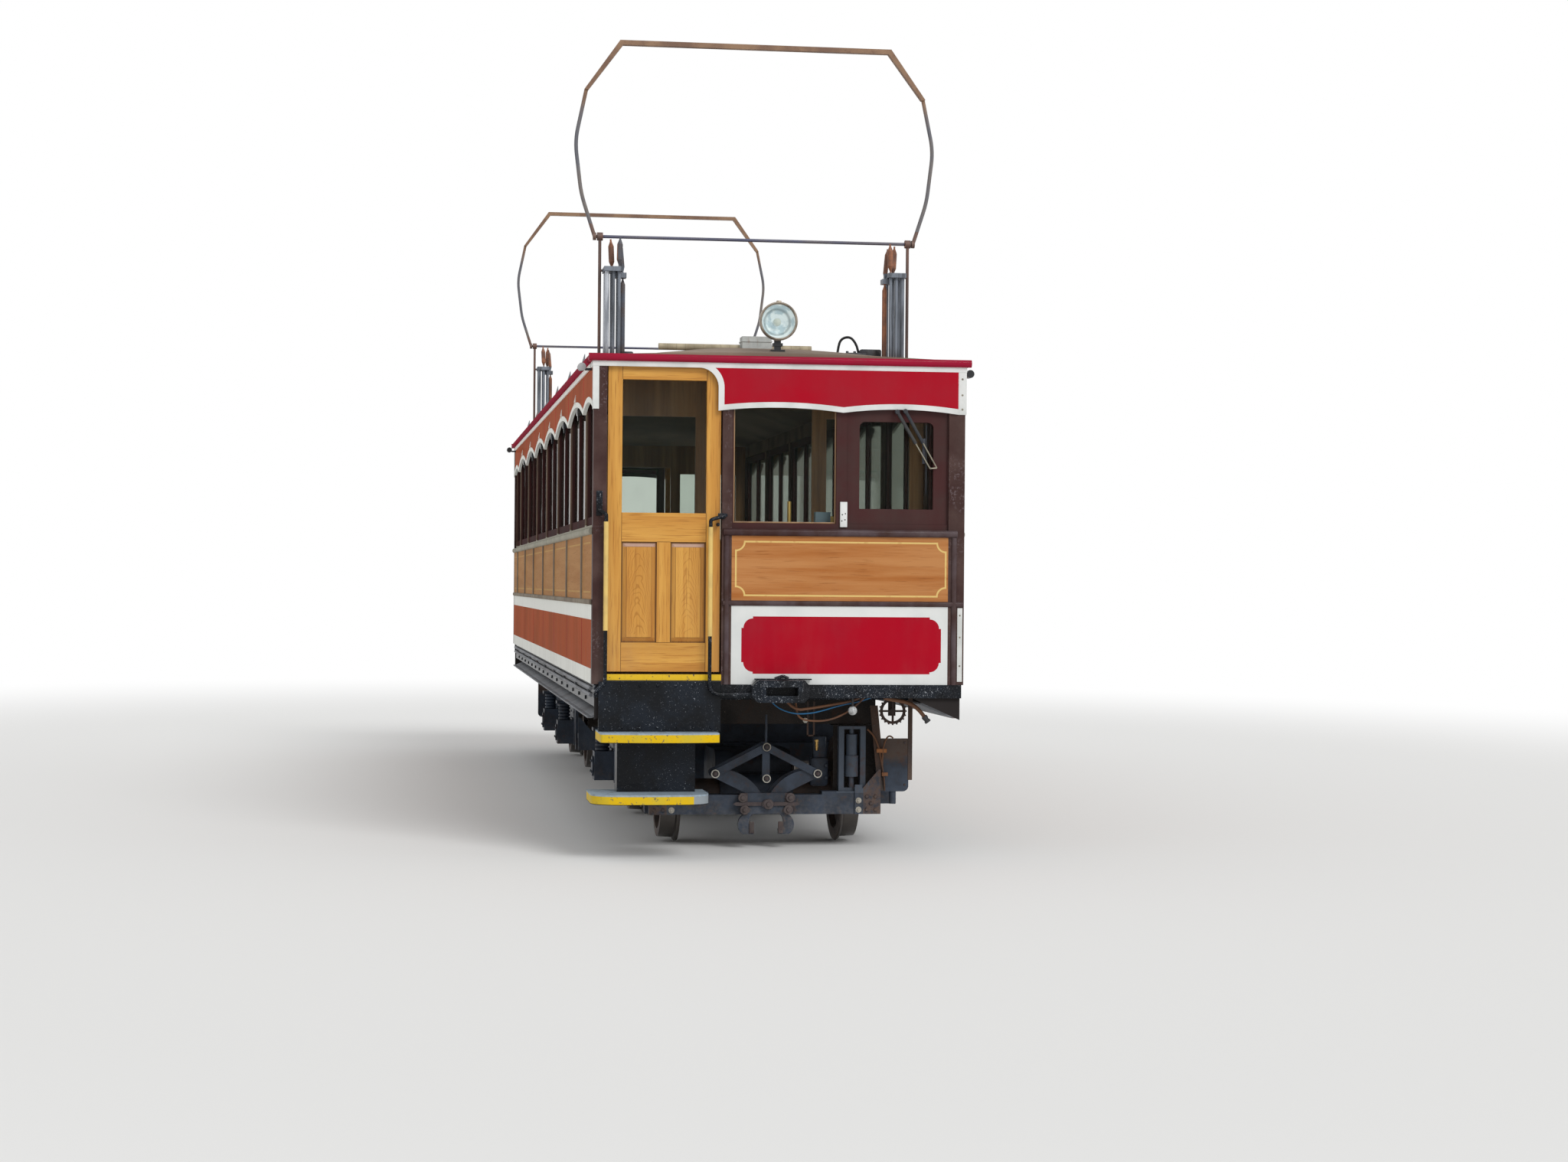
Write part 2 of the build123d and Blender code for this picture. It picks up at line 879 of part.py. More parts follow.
apron_y = (-1066, -349)
apron_thick = 14
apron_rise = 15
upper_step_z = 740
lower_step_z = 384
step_thick = 58
step_back = half_length - 240
step_nose = half_length + 220
upper_step_y = (-1063, -370)
lower_step_y = (-1113, -424)
hanger_y = (-950, -490)
hanger_x = half_length - 60
hanger_plate = 16
rib_thick = 12
arm_back = (half_length - 210, half_length - 110)
arm_insets = (13, 30)


def step_aprons():
    """Black plates closing the space from the door sill down to the upper step."""
    face = half_length + headstock_proud
    return both_ends(block((face, face + apron_thick), apron_y, (upper_step_z, floor_bottom + apron_rise)))


def step_board(span, nose, bow, top, end_r):
    """A step board whose front edge bows forwards and whose ends are rounded."""
    left, right = span
    edge = [
        Line((step_back, left), (nose - bow - end_r, left)),
        RadiusArc((nose - bow - end_r, left), (nose - bow, left + end_r), -end_r),
        ThreePointArc((nose - bow, left + end_r), (nose, (left + right) / 2), (nose - bow, right - end_r)),
        RadiusArc((nose - bow, right - end_r), (nose - bow - end_r, right), -end_r),
        Line((nose - bow - end_r, right), (step_back, right)),
        Line((step_back, right), (step_back, left)),
    ]
    return Pos(0, 0, top - step_thick) * extrude(make_face(edge), step_thick)


def step_boards():
    upper = step_board(upper_step_y, step_nose, 40, upper_step_z, 20)
    lower = step_board(lower_step_y, step_nose + 10, 10, lower_step_z, 150)
    return both_ends(upper, lower)


def step_hangers():
    """Plates that hang the lower step from the upper one and the upper one from the underframe."""
    low, high = hanger_y
    between = (lower_step_z, upper_step_z - step_thick)
    hanger = block((hanger_x, hanger_x + hanger_plate), hanger_y, between)
    for y in (low, high - rib_thick):
        hanger += block((arm_back[0], hanger_x), (y, y + rib_thick), between)
    outer, inner = upper_step_y[0] + arm_insets[0], upper_step_y[1] - arm_insets[1]
    arms = [
        block(arm_back, (y, y + rib_thick), (upper_step_z, top))
        for y, top in ((outer, solebar_low), (inner, floor_bottom))
    ]
    return both_ends(hanger, *arms)


grab_r = 11
sleeve_r = 14
grab_x = half_length + 42
outer_grab_y = -1030
inner_grab_y = -418
sleeve_outer = (1330, 1965)
sleeve_inner = (1300, 1940)
hook_rise = 70
grab_foot_z = 975
grab_run_z = 960


def grab_hook(y, z, end_y):
    """Upper end of a rail, cranked sideways into the post behind it."""
    points = [
        (grab_x, y, z), (grab_x, y, z + hook_rise * 0.6),
        (half_length + 24, end_y, z + hook_rise), (half_length, end_y, z + hook_rise),
    ]
    return swept(points, [16, 12], grab_r)


def grab_rails():
    """Rails each side of the door, in two lengths above and below the cream sleeves."""
    outer_hook = grab_hook(outer_grab_y, sleeve_outer[1], outer_grab_y - 38)
    inner_hook = grab_hook(inner_grab_y, sleeve_inner[1], door_right + 20)
    foot_y = -solebar_y - 2
    outer_foot = swept(
        [
            (grab_x, outer_grab_y, sleeve_outer[0]), (grab_x, outer_grab_y, grab_foot_z + 60),
            (half_length + 36, foot_y, grab_foot_z),
            (half_length + headstock_proud - headstock_face, foot_y, grab_foot_z),
        ],
        [24, 14], grab_r)
    inner_foot = swept(
        [
            (grab_x, inner_grab_y, sleeve_inner[0]), (grab_x, inner_grab_y, grab_run_z),
            (grab_x, -coupler_half, grab_run_z),
        ],
        [60], grab_r)
    return both_ends(outer_hook, inner_hook, outer_foot, inner_foot)


def grab_sleeves():
    sleeves = []
    for y, (low, high) in ((outer_grab_y, sleeve_outer), (inner_grab_y, sleeve_inner)):
        sleeves.append(rod((grab_x, y, low), (grab_x, y, high), sleeve_r))
    return both_ends(*sleeves)


# Roof gear

lamp_r = 115
lamp_z = 3172
lamp_back = 170
lens_r = 100
lens_x = 15
lens_edge = 4
lens_dome = 12
marker_back = 180
marker_r = 24
marker_long = 64
marker_z = 2880
under_lamp = (446, 862)
under_lamp_r = 27
lamp_x = half_length - lamp_back


def turned_x(points):
    """A turned shape about the x axis, from points of radius and x."""
    return Rot(0, 90, 0) * revolve(Plane.XZ * outline(points), Axis.Z)


def headlamps():
    """Round headlamps with a hollow reflector, on a foot above the end cornice."""
    bowl = turned_x([
        (0, -110), (45, -104), (88, -64), (lamp_r - 3, 0), (lamp_r, 4), (lamp_r, 26), (lens_r + 1, 26),
        (lens_r + 1, 12), (84, -34), (44, -82), (0, -96),
    ])
    foot_z = roof_height(lamp_x - 20, 0) - 4
    neck = block((lamp_x - 38, lamp_x - 12), (-20, 20), (foot_z, lamp_z - 95))
    clamp = block((lamp_x - 46, lamp_x - 4), (-30, 30), (foot_z + 34, foot_z + 52))
    base = block((lamp_x - 60, lamp_x + 10), (-42, 42), (foot_z - 8, foot_z + 12))
    return both_ends(on_roof(Pos(lamp_x, 0, lamp_z) * bowl + neck + clamp + base))


def lamp_lenses():
    lens = turned_x([(0, lens_x), (lens_r, lens_x), (lens_r, lens_x + lens_edge), (lens_r / 2, lens_x + lens_dome * 0.8),
                     (0, lens_x + lens_dome)])
    return both_ends(Pos(lamp_x, 0, lamp_z) * lens)


def marker_lamps():
    """Small lamps at the upper corners, each on a stem from the letterboard."""
    x = half_length - marker_back
    y = half_width + cornice_out + marker_r + 5
    lamp = rod((x - marker_long / 2, y, marker_z), (x + marker_long / 2, y, marker_z), marker_r)
    stem = block((x - 8, x + 8), (half_width, y - marker_r + 4), (eaves_z - strip_high - 15, eaves_z - strip_high - 1))
    return all_corners(lamp + stem)


def under_lamps():
    """Small round lamp under the headstock, right of the coupler."""
    y, z = under_lamp
    x = half_length - 40
    ball = Pos(x, y, z) * Sphere(under_lamp_r)
    stem = rod((x, y, z + under_lamp_r - 4), (x, y, headstock_low), 7)
    return both_ends(ball + stem)


tube_back = 2400
tube_r = 22
tube_reach = (-500, 540)
tube_box = (60, 259)
tube_box_half = 70
tube_box_high = 92
tube_lid = 8


def roof_tubes():
    """Cross conduit with its junction box behind each bow."""
    x = half_length - tube_back
    z = crown_z + tube_r - 4
    low, high = tube_box
    half = tube_box_half
    tube = rod((x, tube_reach[0], z), (x, tube_reach[1], z), tube_r)
    box = block((x - half, x + half), tube_box, (crown_z - 6, crown_z + tube_box_high))
    lid_z = crown_z + 0.6 * tube_box_high
    lid = block((x - half - 5, x + half + 5), (low - 5, high + 5), (lid_z, lid_z + tube_lid))
    return both_ends(on_roof(tube + box + lid))


# Bow stands: y of each upright, and shifts along the car
stand_outer_r = 10
stand_main = (942, 14)
cap_z = (3566, 3595)
cap_y = (848, 962)
cap_half_x = 95
low_cap_z = (3530, 3562)
low_cap_y = (818, 890)
low_cap_half_x = 38
tube_rows = [(903, 11), (866, 10)]
tube_shift = 62
spring_pot_r = 18
eye_r = 26
eye_long = 36


def spring_pot(start, end, radius):
    """A leaning pot with tapered ends and a thin rod at each end, between two points."""
    run = Vector(*end) - Vector(*start)
    long = run.length
    taper = 1.6 * radius
    points = [
        (0, 0), (6, 0), (6, taper * 0.5), (radius, taper * 1.6), (radius, long - taper * 1.6),
        (6, long - taper * 0.5), (6, long), (0, long),
    ]
    return Plane(origin=start, z_dir=run) * revolve(Plane.XZ * outline(points), Axis.Z)


def bow_stands():
    """Trestles at each side that carry the bow: posts, caps, guide tubes and spring pots."""
    foot = roof_height(bow_x, bow_foot) - 10
    outer = rod((bow_x, bow_foot, foot), (bow_x, bow_foot, pivot_z), stand_outer_r)
    outer += Pos(bow_x, bow_foot, pivot_z) * Rot(90, 0, 0) * Cylinder(eye_r, eye_long)
    outer -= Pos(bow_x, bow_foot, pivot_z) * Rot(90, 0, 0) * Cylinder(shaft_r + running, 2 * eye_long)
    main_y, main_r = stand_main
    stand = outer + block((bow_x - cap_half_x, bow_x + cap_half_x), cap_y, cap_z)
    stand += block((bow_x - low_cap_half_x, bow_x + low_cap_half_x), low_cap_y, low_cap_z)
    stand += block((bow_x - 20, bow_x + 20), (low_cap_y[1] - 30, low_cap_y[1]), (low_cap_z[1] - 1, cap_z[0] + 1))
    base_z = roof_height(bow_x, low_cap_y[0])
    stand += block((bow_x - 120, bow_x + 120), (low_cap_y[0] - 10, bow_foot + 24), (foot - 14, base_z + 16))
    for shift in (-tube_shift, tube_shift):
        x = bow_x + shift
        stand += rod((x, main_y, foot), (x, main_y, cap_z[0] + 1), main_r)
        for y, radius in tube_rows:
            stand += rod((x, y, foot), (x, y, cap_z[0] + 1), radius)
        top_y = tube_rows[0][0] if shift < 0 else tube_rows[1][0]
        lean = 9 if shift < 0 else -5
        stand += spring_pot((x, top_y, cap_z[1] - 1), (x, top_y + lean, pivot_z - 8), spring_pot_r)
    stand += rod((bow_x, bow_foot - 30, cap_z[0] + 10), (bow_x, bow_foot, cap_z[0] + 10), 8)
    pot_y = (low_cap_y[0] + low_cap_y[1]) / 2 - 15
    stand += spring_pot((bow_x, pot_y, base_z + 10), (bow_x, pot_y, low_cap_z[0] + 1), spring_pot_r - 2)
    stand += spring_pot((bow_x, pot_y, low_cap_z[1] - 1), (bow_x, pot_y + 18, pivot_z - 34), spring_pot_r - 3)
    return both_sides(on_roof(stand))


hub_r = 24
hub_long = 20
shaft_past = 40


def bow_frame():
    """Side tubes and the cross shaft that they stand on."""
    reach = bow_foot + shaft_past
    hub_y = bow_foot + eye_long / 2 + hub_long / 2 + 6
    frame = rod((bow_x, -reach, pivot_z), (bow_x, reach, pivot_z), shaft_r)
    for side in (-1, 1):
        points = [
            (bow_x, side * hub_y, pivot_z),
            (bow_x, side * (bow_bulge - 40), (pivot_z + bulge_z) / 2),
            (bow_x, side * bow_bulge, bulge_z + 60),
            (bow_x, side * bow_shoulder, shoulder_z),
        ]
        frame += swept(points, [700, 500], bow_tube_r)
        frame += Pos(bow_x, side * hub_y, pivot_z) * Rot(90, 0, 0) * Cylinder(hub_r, hub_long)
    return frame - bar_outline()


bar_wide = 44
bar_deep = 30
bar_trough = 9
trough_end = 40


def bar_outline():
    """The rubbing bar with its two raked shoulders, before it is hollowed."""
    lean = math.hypot(bow_shoulder - bow_corner, bow_top - shoulder_z)
    across = (bow_top - shoulder_z) / lean * bar_deep
    drop = (bow_shoulder - bow_corner) / lean * bar_deep
    right = [
        (bow_shoulder + across / 2, shoulder_z), (bow_corner + across * 0.45, bow_top),
    ]
    inner = [
        (bow_corner - across * 0.3, bow_top - bar_deep), (bow_shoulder - across / 2, shoulder_z - drop * 0.3),
    ]
    points = right + [(-y, z) for y, z in reversed(right)]
    points += [(-y, z) for y, z in reversed(inner)] + inner
    return end_plate(outline(points), bow_x - bar_wide / 2, bow_x + bar_wide / 2)


def contact_bar():
    """Trough-shaped rubbing bar, open along its top."""
    half = bar_wide / 4
    reach = bow_corner - trough_end
    return bar_outline() - block((bow_x - half, bow_x + half), (-reach, reach), (bow_top - bar_trough, bow_top + 1))


# Bogies, built about their own centre and then moved to each end

horn_half = 95
horn_head = 455
horn_foot = 225
horn_wide = 65
horn_flare = 30
spring_seat = 24
spring_y = 800
spring_r = 50
spring_lip = 20
spring_wire = 12
spring_coils = 5
box_half = 88
box_y = (frame_y - 12, 862)
box_down = 95
box_up = 105
box_cover_r = 70
slate_y = (721, 894)
slate_z = (339, 662)
slate_thick = 60
slate_round = 35


def bogie_side_frames():
    """Plate frames with open hornways for the axleboxes and caps for the springs."""
    half = wheelbase / 2
    post = 40
    points = [(-beam_x, frame_top), (beam_x, frame_top), (beam_x, beam_low), (beam_x - post, beam_low)]
    for axle in (half, -half):
        points += [
            (axle + horn_half + horn_wide + horn_flare, frame_low), (axle + horn_half + horn_wide, horn_foot),
            (axle + horn_half, horn_foot), (axle + horn_half, horn_head),
            (axle - horn_half, horn_head), (axle - horn_half, horn_foot),
            (axle - horn_half - horn_wide, horn_foot), (axle - horn_half - horn_wide - horn_flare, frame_low),
        ]
    points += [(-beam_x + post, beam_low), (-beam_x, beam_low)]
    plate = side_plate(outline(points), frame_y, frame_y + frame_plate)
    plate = fillet(plate.edges().filter_by(Axis.Y).group_by(Axis.Z)[-1], 60)
    for axle in (half, -half):
        reach = (frame_y + frame_plate, spring_y + spring_r + spring_lip)
        plate += block((axle - 75, axle + 75), reach, (frame_top - spring_seat, frame_top))
    return both_sides(plate + sand_box())


def sand_box():
    """Upright box with rounded lower corners on the outer end of a side frame."""
    width, height = slate_y[1] - slate_y[0], slate_z[1] - slate_z[0]
    shape = Pos((slate_y[0] + slate_y[1]) / 2, (slate_z[0] + slate_z[1]) / 2) * Rectangle(width, height)
    shape = fillet(shape.vertices().group_by(Axis.Y)[0], slate_round)
    return end_plate(shape, beam_x, beam_x + slate_thick)


def axle_spring():
    """Coil spring standing on an axlebox, drawn as stacked coils."""
    foot, head = axle_z + box_up, frame_top - spring_seat
    step = (head - foot) / spring_coils
    core = spring_r - spring_wire
    points = [(0, foot), (core, foot)]
    for i in range(spring_coils):
        z = foot + i * step
        points += [(spring_r, z + step * 0.25), (spring_r, z + step * 0.75), (core, z + step)]
    return revolve(Plane.XZ * outline(points + [(0, head)]), Axis.Z)


def axleboxes():
    """Boxes round the journals, each with a round cover and its spring on top."""
    low, high = box_y
    boxes = []
    for axle in (wheelbase / 2, -wheelbase / 2):
        box = block((axle - box_half, axle + box_half), box_y, (axle_z - box_down, axle_z + box_up))
        box += Pos(axle, high + 6, axle_z) * Rot(90, 0, 0) * Cylinder(box_cover_r, 14)
        bore_long = journal_end + 5 - (low - 15)
        bore_y = journal_end + 5 - bore_long / 2
        box -= Pos(axle, bore_y, axle_z) * Rot(90, 0, 0) * Cylinder(journal_r + running, bore_long)
        boxes.append(box + Pos(axle, spring_y, 0) * axle_spring())
    return both_sides(*boxes)


beam_step_y = 350
beam_step = 20
beam_web = 20
bracket_y = (552, 598)
bracket_high = 385
gusset_top = 478
gusset_low = 360
front_plate = 12


def end_beams():
    """Channel beams across the ends of the frame, raised at their ends, with brackets and gussets in front."""
    beam = block((beam_x, beam_x + beam_deep), (-beam_half, beam_half), (beam_low, beam_high))
    beam -= block(
        (beam_x + beam_web, beam_x + beam_deep - beam_web), (-beam_half, beam_half), (beam_low - 1, beam_high - beam_web)
    )
    face = beam_x + beam_deep
    for side in (-1, 1):
        y = sorted((side * beam_step_y, side * beam_half))
        beam += block((beam_x, face), y, (beam_high, beam_high + beam_step))
        y = sorted((side * bracket_y[0], side * bracket_y[1]))
        beam += block((face, face + front_plate), y, (beam_low, bracket_high))
        gusset = outline([
            (side * bracket_y[1], beam_low), (side * beam_half, beam_low), (side * beam_half, gusset_top),
            (side * (beam_half - front_plate), gusset_top), (side * bracket_y[1], gusset_low),
        ])
        beam += end_plate(gusset, face, face + front_plate)
    return both_ends(beam)


def bogie_bolster():
    """Transoms and the bolster that turns on the body's pin."""
    low = frame_low + 20
    half = transom_wide / 2
    beams = [
        block((x - half, x + half), (-frame_y, frame_y), (low, frame_top - 30)) for x in (-transom_x, transom_x)
    ]
    half = bolster_wide / 2
    bolster = block((-half, half), (-frame_y, frame_y), (low, bolster_top - bolster_under))
    table = Pos(0, 0, bolster_top - turntable_high / 2) * Cylinder(turntable_r, turntable_high)
    socket = pivot_long + bolster_under
    bore = Pos(0, 0, bolster_top - socket / 2) * Cylinder(pivot_r + running, socket)
    return [bolster + beams + table - bore]


motor_half = 240
motor_near, motor_far = 330, 950
motor_z = (170, 560)
motor_round = 90
suspension_r = 95
nose_half = 60
nose_z = (460, 520)


def motors():
    """Motor and gear case of each axle as a plain block, hung on the axle and on a nose at the transom."""
    axle = wheelbase / 2
    case = block((motor_near, motor_far), (-motor_half, motor_half), motor_z)
    case = fillet(case.edges().filter_by(Axis.Y), motor_round)
    nose = block((transom_x + transom_wide / 2, motor_near + 5), (-nose_half, nose_half), nose_z)
    bearing = Pos(axle, 0, axle_z) * Rot(90, 0, 0) * Cylinder(suspension_r, 2 * motor_half - 20)
    bore = Pos(axle, 0, axle_z) * Rot(90, 0, 0) * Cylinder(axle_r + running, 2 * motor_half)
    return both_ends(case + nose + bearing - bore)


# Centre-rail brake in front of the end beam: places are y and z of the pins
link_thick = 16
link_wide = 46
top_pin = (0, 618)
side_pin = (314, 456)
low_pin = (0, 426)
brake_pin_r = 15
washer_r = 26
washer_thick = 5
link_gap = 2
arm_foot = (70, 330)
near_x = beam_x + beam_deep + 8
far_x = beam_x - link_thick - 12


def link(start, end, x):
    """A flat link with round ends between two places in y and z."""
    (y0, z0), (y1, z1) = start, end
    length = math.hypot(y1 - y0, z1 - z0)
    turn = math.degrees(math.atan2(z1 - z0, y1 - y0))
    flat = Pos((y0 + y1) / 2, (z0 + z1) / 2) * Rot(0, 0, turn) * SlotCenterToCenter(length, link_wide)
    return end_plate(flat, x, x + link_thick)


def lower_arm(side, x):
    """Winged arm from a side pin down to the clamp, curved along its upper edge."""
    y, z = side_pin
    half = link_wide / 2
    foot_y, foot_z = arm_foot
    edges = [
        ThreePointArc((y - 8, z + half), (y - 190, z - 22), (foot_y - 44, foot_z)),
        Line((foot_y - 44, foot_z), (foot_y + 40, foot_z)),
        Line((foot_y + 40, foot_z), (y + 10, z - half)),
        ThreePointArc((y + 10, z - half), (y + half, z), (y - 8, z + half)),
    ]
    arm = end_plate(make_face(edges), x, x + link_thick)
    return arm if side > 0 else mirror(arm, about=Plane.XZ)


def brake_pin(place):
    """A pin through both diamonds with a washer and a head in front."""
    y, z = place
    front = near_x + 2 * link_thick + link_gap
    pin = rod((far_x - 8, y, z), (front + 14, y, z), brake_pin_r)
    return pin + disc_x((front, y, z), washer_thick, washer_r)


clamp_top = 338
clamp_low = 211
clamp_half_top = 160
clamp_half_low = 140
clamp_thick = 26
jaw_thick = 40
claw_low = 88
claw_top = clamp_low + 6
claw_foot = (78, 138)
claw_chamfer = (12, 8)
claw_bulge = (170, 160)
claw_hollow = (104, 150)


def jaw(side):
    """Hooked jaw below the clamp that closes on the centre rail."""
    inner, outer = claw_foot
    toe_y, toe_z = outer + claw_chamfer[0], claw_low + claw_chamfer[1]
    heel_y, heel_z = inner - 4, claw_low + 30
    claw = make_face([
        ThreePointArc((side * 112, claw_top), (side * claw_bulge[0], claw_bulge[1]), (side * toe_y, toe_z)),
        Line((side * toe_y, toe_z), (side * outer, claw_low)),
        Line((side * outer, claw_low), (side * inner, claw_low)),
        Line((side * inner, claw_low), (side * heel_y, heel_z)),
        ThreePointArc((side * heel_y, heel_z), (side * claw_hollow[0], claw_hollow[1]), (side * 66, claw_top)),
        Line((side * 66, claw_top), (side * 112, claw_top)),
    ])
    return end_plate(claw, near_x, near_x + jaw_thick)


def brake_gear():
    """Centre-rail brake: two diamonds of links on shared pins, a clamp plate and two jaws for the rail."""
    behind = near_x + link_thick + link_gap / 2
    gear = brake_pin(top_pin) + brake_pin(low_pin)
    for side in (-1, 1):
        pin = (side * side_pin[0], side_pin[1])
        gear += brake_pin(pin)
        for x in (behind, far_x):
            gear += link(top_pin, pin, x)
        gear += lower_arm(side, near_x)
        gear += lower_arm(side, far_x)
        gear += jaw(side)
    gear += link(top_pin, low_pin, near_x)
    gear += rod((near_x + 8, 0, top_pin[1]), (near_x + 8, 0, top_pin[1] + 195), 7)
    face = near_x + link_thick
    plate = outline([
        (-clamp_half_low, clamp_low), (clamp_half_low, clamp_low), (clamp_half_top, clamp_top - 30),
        (clamp_half_top, clamp_top), (-clamp_half_top, clamp_top), (-clamp_half_top, clamp_top - 30),
    ])
    gear += end_plate(plate, near_x, face + clamp_thick)
    front = face + clamp_thick
    bar = outline([(-206, 272), (-186, 262), (186, 262), (206, 272), (186, 284), (-186, 284)])
    gear += end_plate(bar, front, front + 14)
    gear += disc_x((front, 0, 273), 30, 27)
    for side in (-1, 1):
        gear += disc_x((front, side * 138, 312), 18, 20)
        gear += disc_x((front, side * 122, 236), 16, 20)
    gear += block((beam_x + beam_deep, near_x + 1), (-100, 100), (225, 290))
    return [gear]


pot_frame_y = (456, 623)
pot_frame_z = 741
pot_frame_wall = 33
pot_frame_x = (beam_x + 20, beam_x + 76)
pot_r = 42


def brake_pots():
    """Spring pots in upright frames that stand on the raised ends of the outer end beam."""
    low, high = pot_frame_y
    foot = beam_high + beam_step
    middle = (low + high) / 2
    x_mid = (pot_frame_x[0] + pot_frame_x[1]) / 2
    frame = block(pot_frame_x, pot_frame_y, (foot, pot_frame_z))
    frame -= block(pot_frame_x, (low + pot_frame_wall, high - pot_frame_wall), (foot + 20, pot_frame_z - 18))
    spring = outline([
        (0, foot + 15), (16, foot + 15), (16, 430), (pot_r, 432), (pot_r, 560), (pot_r - 8, 562),
        (pot_r - 8, 690), (14, 694), (14, pot_frame_z - 10), (0, pot_frame_z - 10),
    ])
    frame += Pos(x_mid, middle, 0) * revolve(Plane.XZ * spring, Axis.Z)
    return both_sides(frame)


def wheelset():
    """Axle with its two wheels, turned about its own axis."""
    tread_in = gauge / 2 - 8
    tread_out = tread_in + tread_wide
    flange_in = tread_in - flange_thick
    flange_r = wheel_r + rail_drop
    boss_r = axle_r + 45
    boss_out = tread_out + 14
    wheel = outline([
        (axle_r, flange_in - 22), (boss_r, flange_in - 22), (boss_r + 7, flange_in + 20),
        (wheel_r - 70, flange_in + 34), (wheel_r - 53, flange_in), (flange_r - 6, flange_in),
        (flange_r, flange_in + 9), (flange_r - 8, flange_in + 21), (wheel_r, tread_in), (wheel_r - 5, tread_out),
        (wheel_r - 55, tread_out), (wheel_r - 67, flange_in + 64), (boss_r + 13, flange_in + 62),
        (boss_r, boss_out), (axle_r, boss_out),
    ])
    shaft = outline([
        (0, 0), (axle_r, 0), (axle_r, boss_out), (journal_r, boss_out + 16), (journal_r, journal_end),
        (0, journal_end),
    ])
    half = revolve(Plane.XY * wheel, Axis.Y) + revolve(Plane.XY * shaft, Axis.Y)
    return Pos(0, 0, axle_z) * (half + mirror(half, about=Plane.XZ))


# Pipes, sloping plates and gear under the body

pipe_back = 200
pipe_r = 11
pipe_out = 14
pipe_heights = (985, 945)
clip_pitch = 1200
clip_count = 9
clip_half = 12
plate_back = 220
plate_top = (888, bearer_low - seat_gap)
plate_foot = (1088, 808)
plate_thick = 10
plate_lip = 24
gusset_back = 20
gusset_thick = 12
gusset_inner = 800


def side_pipes():
    reach = half_length - pipe_back
    y = solebar_y + pipe_out
    pipes = [rod((-reach, y, z), (reach, y, z), pipe_r) for z in pipe_heights]
    clips = [
        block(
            (x - clip_half, x + clip_half), (solebar_y, y), (pipe_heights[1] - pipe_r, pipe_heights[0] + pipe_r)
        )
        for x in [clip_pitch * (i - (clip_count - 1) / 2) for i in range(clip_count)]
    ]
    return both_sides(pipes[0] + pipes[1] + clips)


def side_plates():
    """Long plates that slope down and out under each solebar, and the gussets that close their ends."""
    reach = half_length - plate_back
    (top_y, top_z), (foot_y, foot_z) = plate_top, plate_foot
    shape = outline([
        (top_y, top_z), (top_y + 2 * plate_thick, top_z), (foot_y, foot_z + plate_thick),
        (foot_y + plate_lip, foot_z + plate_thick), (foot_y + plate_lip, foot_z), (foot_y - 2, foot_z),
        (top_y, top_z - plate_thick),
    ])
    top = headstock_low - seat_gap
    gusset = outline([(gusset_inner, top), (foot_y, top), (foot_y, foot_z)])
    x = half_length - gusset_back
    return both_sides(end_plate(shape, -reach, reach)) + all_corners(end_plate(gusset, x - gusset_thick, x))


tank_half = 900
tank_r = 150
tank_y = 560
tank_drop = 240
tank_round = 50
strap_x = 420
strap_wide = 40


def air_reservoirs():
    tank = rod((-tank_half, 0, 0), (tank_half, 0, 0), tank_r)
    tank = fillet(tank.edges(), tank_round)
    half = strap_wide / 2
    hangers = [
        block((x - half, x + half), (-strap_wide, strap_wide), (tank_r - 20, tank_drop)) for x in (-strap_x, strap_x)
    ]
    return both_sides(Pos(0, tank_y, bearer_low - tank_drop) * (tank + hangers))


chain_place = (744, 846)
chain_r = 78
chain_teeth = 20
chain_x = half_length - 350
hang_bar_y = (833, 859)
hang_bar_low = 431


def chain_wheels():
    """Toothed chain wheel of the hand brake on its hanger, and the long bar beside it."""
    y, z = chain_place
    wheel = Circle(chain_r) - Circle(chain_r - 16) + Circle(18) + Rectangle(2 * chain_r - 20, 12)
    wheel += Rectangle(12, 2 * chain_r - 20)
    for i in range(chain_teeth):
        angle = 360 * i / chain_teeth
        wheel += Rot(0, 0, angle) * Pos(chain_r, 0) * Rectangle(14, 9)
    gear = end_plate(Pos(y, z) * wheel, chain_x, chain_x + 12)
    gear += rod((chain_x - 30, y, z), (chain_x + 16, y, z), 12)
    gear += block((chain_x - 34, chain_x - 20), (y - 22, y + 22), (z - 30, floor_bottom))
    bar = block((chain_x + 30, chain_x + 42), hang_bar_y, (hang_bar_low, floor_bottom))
    return both_ends(gear, bar)


